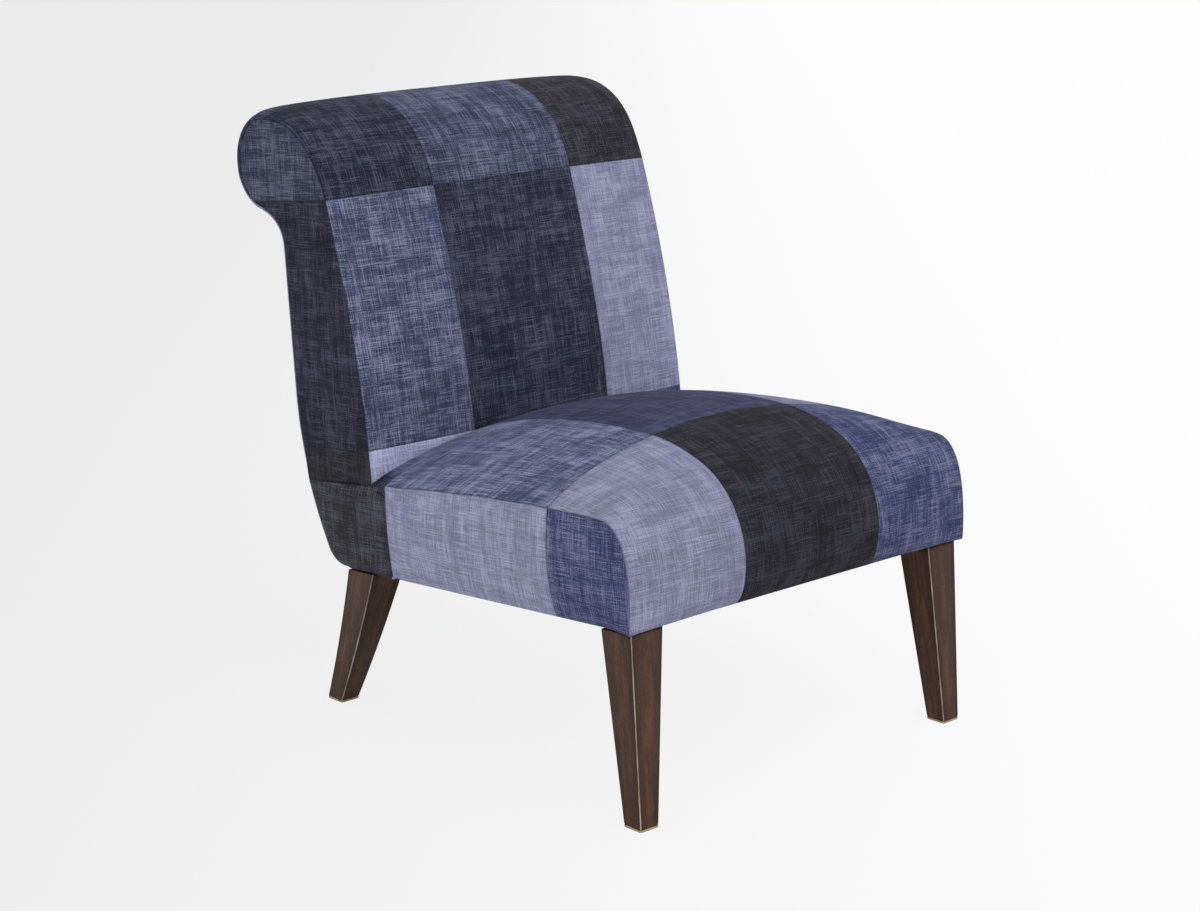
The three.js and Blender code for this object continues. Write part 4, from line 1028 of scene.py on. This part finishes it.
def seam_lines(seat, back, front, rear, ends):
    """Normals of the front and rear halves, how far their side seams are drawn in, and the seams themselves.

    Round the scroll end the inside back's cloth comes over the edge: a little in front, more on top and
    most behind. Its sliver narrows again below the roll, beside the outside back's own seam.
    """
    centre = np.array([seat.depth + back.roll_setback, back.roll_height])
    along, reach, last = np.arange(len(front)), np.arange(len(rear)), len(rear) - 1
    front_normal = outward(front, centre, along >= ends[2])
    rear_normal = -outward(rear, centre, np.zeros(len(rear), bool))
    radial = rear - centre
    radial /= np.linalg.norm(radial, axis=1, keepdims=True)
    rear_normal[-ROLL_SAMPLES:] = radial[-ROLL_SAMPLES:]
    front_in = back.front_rim * smooth(along, ends[1], ends[1] + ROLL_BLEND)
    front_in += (back.top_rim - back.front_rim) * smooth(along, ends[2] - ROLL_BLEND, ends[2])
    front_in += (back.rear_rim - back.top_rim) * smooth(along, ends[2], ends[3] - 4)
    rear_in = back.rim * smooth(reach, 0, 5)
    wider = (back.rear_rim - back.rim) * smooth(reach, last + 1 - ROLL_SAMPLES, last + 6)
    sliver_in = rear_in + np.maximum(wider, 0.00015)
    front_seam = drawn_in(front, front_normal, front_in)
    sliver_seam = drawn_in(rear, rear_normal, sliver_in)
    rear_seam = drawn_in(rear, rear_normal, rear_in)
    sliver_seam[-1] = front_seam[-1]
    return SimpleNamespace(
        front_normal=front_normal, front_in=front_in, front_seam=front_seam,
        rear_normal=rear_normal, rear_in=rear_in, rear_seam=rear_seam, sliver_seam=sliver_seam,
    )


def inside_back(seat, back, front, lines, ends):
    """The front of the back and the roll's top: the outline carried across, and crowned by the dome.

    The crown grows up to the top of the roll, where it is also fuller, and ends with the cloth behind
    it. Beside the roll's left end it starts flat, near its right end a shoulder squares the roll's
    front, and at the side seams the cloth rounds over the edge.
    """
    half = back_half(seat, back)
    breaks = [-1, *(seam / half for seam in BACK_SEAMS), 1]
    across, seams = columns_at(breaks, height=0.045, pitch=0.0212, close=CLOSE)
    reach = np.arange(len(front))
    rise = smooth(reach, ends[1] - ROLL_BLEND, ends[2])
    fade = 1 - smooth(reach, ends[2] + 1, ends[3])
    lift = (back.crown + (back.roll_crown - back.crown) * rise) * fade
    power = CROWN_POWER + (ROLL_CROWN_POWER - CROWN_POWER) * rise
    power = power[:, None] - 0.06 * rise[:, None] * smooth(across, 0, 0.6)[None]
    flat = 1 - rise[:, None] * np.exp(-half * (1 + across[None]) / ROLL_FLAT)
    right = half * (1 - across[None])
    shoulder = ends[1] + 0.45 * (ends[2] - ends[1])
    square = smooth(reach, ends[1] - 4, shoulder) * (1 - smooth(reach, shoulder, ends[2] + 2))
    full = ROLL_SHOULDER * square[:, None] * (1 - np.exp(-right / SHOULDER_RISE)) * np.exp(-right / SHOULDER_FADE)
    stand = lift[:, None] * dome(across[None], power) * flat + full
    stand += seam_round(across[None], half, lines.front_in[:, None])
    yz = front[:, None] + lines.front_normal[:, None] * stand[..., None]
    x = np.broadcast_to(across * half, yz.shape[:2])
    grid = np.concatenate([x[..., None], yz], axis=-1)
    return Panel(grid, row_seams=ends[:2], column_seams=seams, middle=len(across) // 2)


def side_facing(side, seat, back, lines, ends):
    """The back's side with its scroll end: straight lines between the front seam and the rear one.

    The last columns are the sliver of the inside back's cloth. The row at the joint tucks in under that
    cloth, and two more rows tuck in behind the lower side cover.
    """
    half = back_half(seat, back)
    front, sliver, rear = lines.front_seam, lines.sliver_seam, lines.rear_seam
    u = np.linspace(0, 1, FACING_COLUMNS + 1)[None, :, None]
    yz = front[:, None] * (1 - u) + sliver[:, None] * u
    u = np.linspace(0, 1, SLIVER_COLUMNS + 1)[None, 1:, None]
    yz = np.concatenate([yz, sliver[:, None] * (1 - u) + rear[:, None] * u], axis=1)
    grid = np.concatenate([np.full((*yz.shape[:2], 1), half), yz], axis=-1)
    grid[-1, :FACING_COLUMNS] = grid[-2, :FACING_COLUMNS] - [0.0016, 0, 0]
    grid[0, FACING_COLUMNS:, 1] -= 0.0008
    tuck = []
    for inset, drop in ((0.0045, 0.010), (0.0012, 0.0035)):
        row = grid[0].copy()
        row[:, 0] -= inset
        row[:, 1] -= 0.55 * drop * np.linspace(0, 1, len(row)) ** 2
        row[:, 2] -= drop
        tuck.append(row)
    grid = np.concatenate([tuck, grid])
    row_seams = [end + len(tuck) for end in ends[:2]]
    hems = FIRST_COLUMN | LAST_COLUMN | LAST_ROW
    return side_panel(grid, side, row_seams=row_seams, column_seams=[FACING_COLUMNS], hems=hems)


def outside_back(seat, back, lines, rear, foot):
    """The rear of the back: the outline from just behind the roll down to the frame's underside.

    It is carried across, and rounds over at its side seams. Below, it turns under as far as the dust cover.
    """
    half = back_half(seat, back)
    below = -outward(foot, np.zeros(2), np.zeros(len(foot), bool))
    line = np.concatenate([rear[::-1], foot[1:], [[FRAME_REAR + 0.0015, 0.0]]])
    normal = np.concatenate([lines.rear_normal[::-1], below[1:], below[-1:]])
    rim = np.concatenate([lines.rear_in[::-1], np.zeros(len(foot))])
    line[0] = line[0] + (line[1] - line[0]) * 0.2
    steps = way_along(line)
    keep_at = np.linspace(0, steps[-1], OUTSIDE_ROWS)

    def kept(values):
        return np.interp(keep_at, steps, values)

    path = np.stack([kept(line[:, 0]), kept(line[:, 1])], axis=-1)
    out = np.stack([kept(normal[:, 0]), kept(normal[:, 1])], axis=-1)
    across, _ = columns_at([-1, 0, 1], height=0, pitch=0.03, close=CLOSE)
    stand = seam_round(across[None], half, kept(rim)[:, None])
    grid = np.empty((len(path), len(across), 3))
    grid[..., 0] = across[None, :] * half
    grid[..., 1:] = path[:, None] + out[:, None] * stand[..., None]
    return Panel(grid, middle=len(across) // 2, hems=FIRST_COLUMN | LAST_COLUMN | FIRST_ROW)


def lower_side(side, seat, back, foot):
    """The cloth under the facing: straight lines from its front edge to the outside back's outline.

    It steps out from the back's width to the frame's over a short ledge, and comes in again behind it.
    """
    half = back_half(seat, back)
    start, corner, top = SEAT_END + CLEARANCE, FRAME_REAR + CLEARANCE, REAR_SEAM_HEIGHT - 2 * CLEARANCE
    beside_count, behind_count = 16, 14
    rows = np.linspace(0, 1, 22)
    steps = way_along(foot)
    rear = np.stack([np.interp(rows * steps[-1], steps, foot[:, k]) for k in (0, 1)], axis=-1)
    rear[:, 0] -= COVER
    rear[:, 1] = np.maximum(rear[:, 1], 0.0012)
    column = np.arange(beside_count + behind_count + 1)
    beside = np.clip(column / beside_count, 0, 1)[None]
    behind = np.clip((column - beside_count) / behind_count, 0, 1)[None]
    along = start + (corner - start) * beside
    y = along * (1 - behind) + rear[:, None, 0] * behind
    front_height = top * (1 - rows) + CLEARANCE * rows
    z = front_height[:, None] + (rear[:, 1] - front_height)[:, None] * (y - start) / (rear[:, None, 0] - start)
    step = (FRAME_HALF + CLEARANCE + COVER - half) * smooth(top - z, 0, 0.019)
    grid = np.stack([half + step * (1 - smooth(behind, 0, 1)), y, z], axis=-1)
    under = grid[-1].copy()
    under[:, 0] -= 0.0022
    under[:, 2] = np.maximum(under[:, 2], CLEARANCE)
    grid = np.concatenate([grid, under[None]])[::-1]
    return side_panel(grid, side, hems=FIRST_COLUMN | LAST_COLUMN | LAST_ROW)


# Legs


def leg_ring(side, radius):
    """A square about the origin, with a quarter circle at each corner and a straight face after it.

    It comes with how much each point is a worn corner with a painted highlight, by a power of the sine
    round the arc, and how near each is to the border of a face, which sets the painted shade.
    """
    step = np.linspace(0, math.pi / 2, 7)
    on_face = np.array([0.04, 0.5, 0.96])
    inner = side / 2 - radius
    points, corner, border = [], [], []
    for k, (sx, sy) in enumerate(((1, 1), (-1, 1), (-1, -1), (1, -1))):
        angle = step + k * math.pi / 2
        arc = np.stack([sx * inner + radius * np.cos(angle), sy * inner + radius * np.sin(angle)], axis=-1)
        tangent = np.array([-math.sin(angle[-1]), math.cos(angle[-1])])
        points += [arc, arc[-1] + tangent * on_face[:, None] * 2 * inner]
        corner += [EDGE_WEAR_AND_HIGHLIGHT[k] * np.maximum(np.sin(step * 2), 0) ** 1.4, np.zeros(3)]
        border += [np.ones(7), np.array([0.92, 0.0, 0.92])]
    return np.concatenate(points), np.concatenate(corner), np.concatenate(border)


def make_leg(name, side, end, material):
    """A tapered square leg: rings lofted from the tilted underside to the level foot, bowed by 4t(1-t)."""
    seat, _, legs, _ = sizes()
    face, rake, splay = LEG_PLACES[end]
    outer = seat.width / 2 - LEG_INSET
    x, y = side * (outer - legs.top_side / 2), face + legs.top_side / 2
    foot_x = side * (outer - splay - legs.foot_side / 2)
    foot_y = place([x, y, 0.0])[1] + rake - (legs.top_side - legs.foot_side) / 2
    t = np.concatenate([np.linspace(0, 1, 25)[:-1], [0.992, 1.0]])
    top, corner, border = leg_ring(legs.top_side, legs.arris)
    low, _, _ = leg_ring(legs.foot_side, legs.arris)
    count = len(top)
    high = place(np.concatenate([top + [x, y], np.zeros((count, 1))], axis=1))
    base = np.concatenate([low + [foot_x, foot_y], np.full((count, 1), GLIDE_TOP)], axis=1)
    way = t[:, None, None]
    rings = high[None] * (1 - way) + base[None] * way
    if end == "rear":
        rings[..., 1] -= legs.bow * 4 * way[..., 0] * (1 - way[..., 0])
    middle = rings[-1].mean(axis=0)
    rings[-1] = middle + (rings[-1] - middle) * [0.95, 0.95, 1]
    flat = rings.reshape(-1, 3)
    at = np.arange(len(flat)).reshape(len(t), count)
    around = np.roll(at, -1, axis=1)
    quads = np.stack([at[1:], around[1:], around[:-1], at[:-1]], axis=-1).reshape(-1, 4)
    mesh = bpy.data.meshes.new(name)
    mesh.from_pydata(flat.tolist(), [], quads.tolist() + [at[0].tolist(), at[-1][::-1].tolist()])
    mesh.polygons.foreach_set("use_smooth", [True] * len(quads) + [False, False])
    across = (top[None] * (1 - way) + low[None] * way).reshape(-1, 2)
    along = np.repeat(t, count)[:, None] * LEG_LENGTH
    shift = np.array([0.13 * side, 0.42 if end == "rear" else 0.21, 0.4 * side])
    grain = mesh.attributes.new("grain", "FLOAT_VECTOR", "POINT")
    grain.data.foreach_set("vector", (np.concatenate([across, along], axis=1) + shift).ravel())
    for key, values in (("arris", corner), ("border", border)):
        mesh.attributes.new(key, "FLOAT", "POINT").data.foreach_set("value", np.tile(values, len(t)))
    mesh.materials.append(material)
    return keep(name, mesh, [name])


def finish_nodes(material, *starts):
    """Gives a material to every CAD node whose name begins in one of these ways."""
    for start in starts:
        matched = [node for name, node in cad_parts.items() if name.startswith(start)]
        if not matched:
            raise RuntimeError(f"no node is called {start}")
        for node in matched:
            node.data.materials.clear()
            node.data.materials.append(material)


# The studio


def make_floor(scene):
    """A wide plain floor. The camera sees its paper with painted light, a little lighter towards the right of its view.
    """
    corners = [(x * FLOOR_REACH, y * FLOOR_REACH, 0) for x, y in ((-1, -1), (1, -1), (1, 1), (-1, 1))]
    mesh = bpy.data.meshes.new("studio_floor")
    mesh.from_pydata(corners, [], [(0, 1, 2, 3)])
    floor = bpy.data.objects.new("studio_floor", mesh)
    scene.collection.objects.link(floor)
    n = Nodes("studio_paper")
    space = n.coordinates()
    across = n.split(n.scaled(space, (1, 1, 1), turn=FLOOR_SHADE_TURN))[0]
    share = n.ranged(across, -FLOOR_SHADE_HALF, FLOOR_SHADE_HALF, 0, 1)
    paper = tuple(scene.slipper_colours.floor)
    tones = n.ramp(share, [(at, toned(paper, level)) for at, level in FLOOR_PAINTED_LIGHT])
    n.shine(Specular_IOR_Level=0.0)
    material = n.finish((*paper, 1.0), 1.0, n.bump(n.noise(space, scale=600), 0.0001, 0.1))
    glow, rays = n.add("ShaderNodeEmission"), n.add("ShaderNodeLightPath")
    n.join(tones, glow.inputs[0])
    seen = n.math("MULTIPLY", rays.outputs["Is Camera Ray"], FLOOR_GLOW)
    n.join(n.mix(seen, n.shader.outputs[0], glow.outputs[0]), n.output.inputs["Surface"])
    mesh.materials.append(material)


def make_world(scene):
    """White light from all round, and a pale backdrop for the camera, for gloss and for glass."""
    world = bpy.data.worlds.new("studio")
    scene.world = world
    world.use_nodes = True
    n = Tree(world.node_tree)
    rays = n.add("ShaderNodeLightPath").outputs
    seen = n.math("MAXIMUM", rays["Is Camera Ray"], rays["Is Glossy Ray"])
    either = n.math("MAXIMUM", seen, rays["Is Transmission Ray"])
    light = n.fill_all(n.add("ShaderNodeBackground"), (1, 1, 1, 1), WORLD_LEVEL)
    backdrop = n.fill_all(n.add("ShaderNodeBackground"), (*[BACKDROP_TONE] * 3, 1))
    n.join(n.mix(either, light, backdrop), n.add("ShaderNodeOutputWorld").inputs[0])


def make_suns(scene):
    """Two wide soft suns, each turned along its aim."""
    for name, (aim, strength, spread) in SUNS.items():
        data = bpy.data.lights.new(name, "SUN")
        data.energy = strength
        data.angle = math.radians(spread)
        lamp = bpy.data.objects.new(name, data)
        lamp.rotation_euler = Vector(aim).to_track_quat("-Z", "Y").to_euler()
        lamp.location = -Vector(aim) * SUN_DISTANCE
        scene.collection.objects.link(lamp)


def make_camera(scene):
    """The photograph's camera, on a sphere round the place that it looks at."""
    data = bpy.data.cameras.new("camera")
    data.lens, data.sensor_width = CAMERA_LENS, CAMERA_SENSOR
    camera = bpy.data.objects.new("camera", data)
    level = math.cos(CAMERA_ELEVATION)
    x, y = math.sin(CAMERA_AZIMUTH) * level, -math.cos(CAMERA_AZIMUTH) * level
    off = Vector((x, y, math.sin(CAMERA_ELEVATION)))
    camera.location = CAMERA_AIM + off * CAMERA_DISTANCE
    camera.rotation_euler = (-off).to_track_quat("-Z", "Y").to_euler()
    scene.collection.objects.link(camera)
    scene.camera = camera


# Operators


class SLIPPER_OT_seat(bpy.types.Operator):
    """Sew the seat's top and its two sides"""

    bl_idname = "slipper.seat"
    bl_label = "Seat cloth"

    def execute(self, context):
        seat, back, _, _ = sizes()
        edge, crown, ends = seat_lines(seat, back)
        top = seat_top(seat, back, edge, crown, ends)
        swell(top, shrink=0.0010, cap=0.0045)
        sew("seat_pad", top, SEAT_PATCHES, ["seat_cover", "seat_foam"])
        for side, word in SIDES:
            panel = seat_side(side, seat, back, edge, ends)
            swell(panel, shrink=0.0012, cap=0.002)
            nodes = [f"seat_side_cover_{word}"]
            sew(f"seat_side_{word}", panel, SIDE_PATCHES[word], nodes)
            tuck = seat_tuck(side, seat, back, edge, ends)
            sew(f"seat_tuck_{word}", tuck, TUCK_PATCHES[word], [])
        return {"FINISHED"}


class SLIPPER_OT_back(bpy.types.Operator):
    """Sew the inside back, the side facings, the outside back and the lower sides"""

    bl_idname = "slipper.back"
    bl_label = "Back cloth"

    def execute(self, context):
        seat, back, _, _ = sizes()
        front, ends, rear, foot = back_lines(seat, back)
        lines = seam_lines(seat, back, front, rear, ends)
        inside = inside_back(seat, back, front, lines, ends)
        swell(inside, shrink=-0.0004, cap=0.0019)
        nodes = ["inside_back_cover", "back_foam"]
        sew("back_pad", inside, BACK_PATCHES, nodes)
        for side, word in SIDES:
            panel = side_facing(side, seat, back, lines, ends)
            swell(panel, shrink=0.0004, cap=0.0014)
            name = f"side_facing_{word}"
            sew(name + "_cloth", panel, FACING_PATCHES[word], [name])
            lower = lower_side(side, seat, back, foot)
            name = f"lower_side_cover_{word}"
            sew(name + "_cloth", lower, LOWER_PATCHES, [name])
        outside = outside_back(seat, back, lines, rear, foot)
        sew("outside_back", outside, OUTSIDE_PATCHES, ["outside_back_cover"])
        return {"FINISHED"}


class SLIPPER_OT_legs(bpy.types.Operator):
    """Turn out the four stained legs and finish their glides"""

    bl_idname = "slipper.legs"
    bl_label = "Legs"

    def execute(self, context):
        _, _, _, tones = sizes()
        wood = walnut("stained_walnut", tuple(tones.walnut), tuple(tones.walnut_light), tuple(tones.arris))
        for end in LEG_PLACES:
            for side, word in SIDES:
                make_leg(f"leg_{end}_{word}", side, end, wood)
        finish_nodes(fibres("moulded_glide", (0.45, 0.32, 0.22), scale=900, relief=0.0002), "glide_")
        return {"FINISHED"}


class SLIPPER_OT_frame(bpy.types.Operator):
    """Finish the timber, springs, webbing, boards and dust cover inside and under the chair"""

    bl_idname = "slipper.frame"
    bl_label = "Frame finishes"

    def execute(self, context):
        pine = (0.36, 0.23, 0.11), (0.56, 0.40, 0.22)
        crosswise = bare_wood("timber_crosswise", *pine, along=0)
        finish_nodes(crosswise, "front_rail", "rear_rail", "scroll_rail", "neck_rail", "lumbar_rail", "tack_rail")
        finish_nodes(bare_wood("timber_lengthwise", *pine, along=1), "left_rail", "right_rail")
        finish_nodes(bare_wood("timber_upright", *pine, along=2), "corner_block")
        finish_nodes(bare_wood("plywood", (0.42, 0.29, 0.15), (0.64, 0.48, 0.28), along=2), "back_post")
        board = bare_wood("bending_board", (0.16, 0.10, 0.05), (0.36, 0.24, 0.13), along=0, board=True)
        finish_nodes(board, "scroll_board", "outside_back_board")
        steel = metal("zinc_steel", (0.56, 0.57, 0.60), rough=0.34)
        finish_nodes(steel, "hanger_bolt", "sinuous_spring", "spring_clip")
        finish_nodes(metal("plain_brass", (0.60, 0.44, 0.20), rough=0.32), "threaded_insert")
        jute = fibres("jute_webbing", (0.24, 0.17, 0.09), scale=500, relief=0.0006, knots=0.003)
        finish_nodes(jute, "back_webbing")
        finish_nodes(fibres("pressed_felt", (0.19, 0.17, 0.14), scale=420, relief=0.0008), "spring_pad")
        lining = fibres("non_woven_black", (0.014, 0.014, 0.015), scale=620, relief=0.0004, knots=0.0016)
        finish_nodes(lining, "dust_cover")
        return {"FINISHED"}


class SLIPPER_OT_stage(bpy.types.Operator):
    """Set up the floor, the light and the camera"""

    bl_idname = "slipper.stage"
    bl_label = "Stage"

    def execute(self, context):
        scene = context.scene
        scene.view_settings.view_transform = "Standard"
        make_floor(scene)
        make_world(scene)
        make_suns(scene)
        make_camera(scene)
        return {"FINISHED"}


class SLIPPER_PT_sidebar(bpy.types.Panel):
    """Lists the chair's sizes, colours and makers"""

    bl_label = "Slipper chair"
    bl_idname = "SLIPPER_PT_sidebar"
    bl_space_type = "VIEW_3D"
    bl_region_type = "UI"
    bl_category = "Slipper chair"

    def draw(self, context):
        layout = self.layout
        for key, group in GROUPS.items():
            box = layout.box()
            for name in group.__annotations__:
                box.prop(getattr(context.scene, key), name)
        for maker in OPERATORS:
            layout.operator(maker.bl_idname)


GROUPS = {
    "slipper_seat": SLIPPER_PG_seat,
    "slipper_back": SLIPPER_PG_back,
    "slipper_legs": SLIPPER_PG_legs,
    "slipper_colours": SLIPPER_PG_colours,
}
OPERATORS = (SLIPPER_OT_stage, SLIPPER_OT_seat, SLIPPER_OT_back, SLIPPER_OT_legs, SLIPPER_OT_frame)


def register():
    for kind in (*GROUPS.values(), *OPERATORS, SLIPPER_PT_sidebar):
        bpy.utils.register_class(kind)
    for key, kind in GROUPS.items():
        setattr(bpy.types.Scene, key, PointerProperty(type=kind))


def unregister():
    for key in GROUPS:
        delattr(bpy.types.Scene, key)
    for kind in reversed((*GROUPS.values(), *OPERATORS, SLIPPER_PT_sidebar)):
        bpy.utils.unregister_class(kind)


def main():
    register()
    bpy.ops.slipper.stage()
    bpy.ops.slipper.seat()
    bpy.ops.slipper.back()
    bpy.ops.slipper.legs()
    bpy.ops.slipper.frame()


if __name__ == "__main__":
    main()
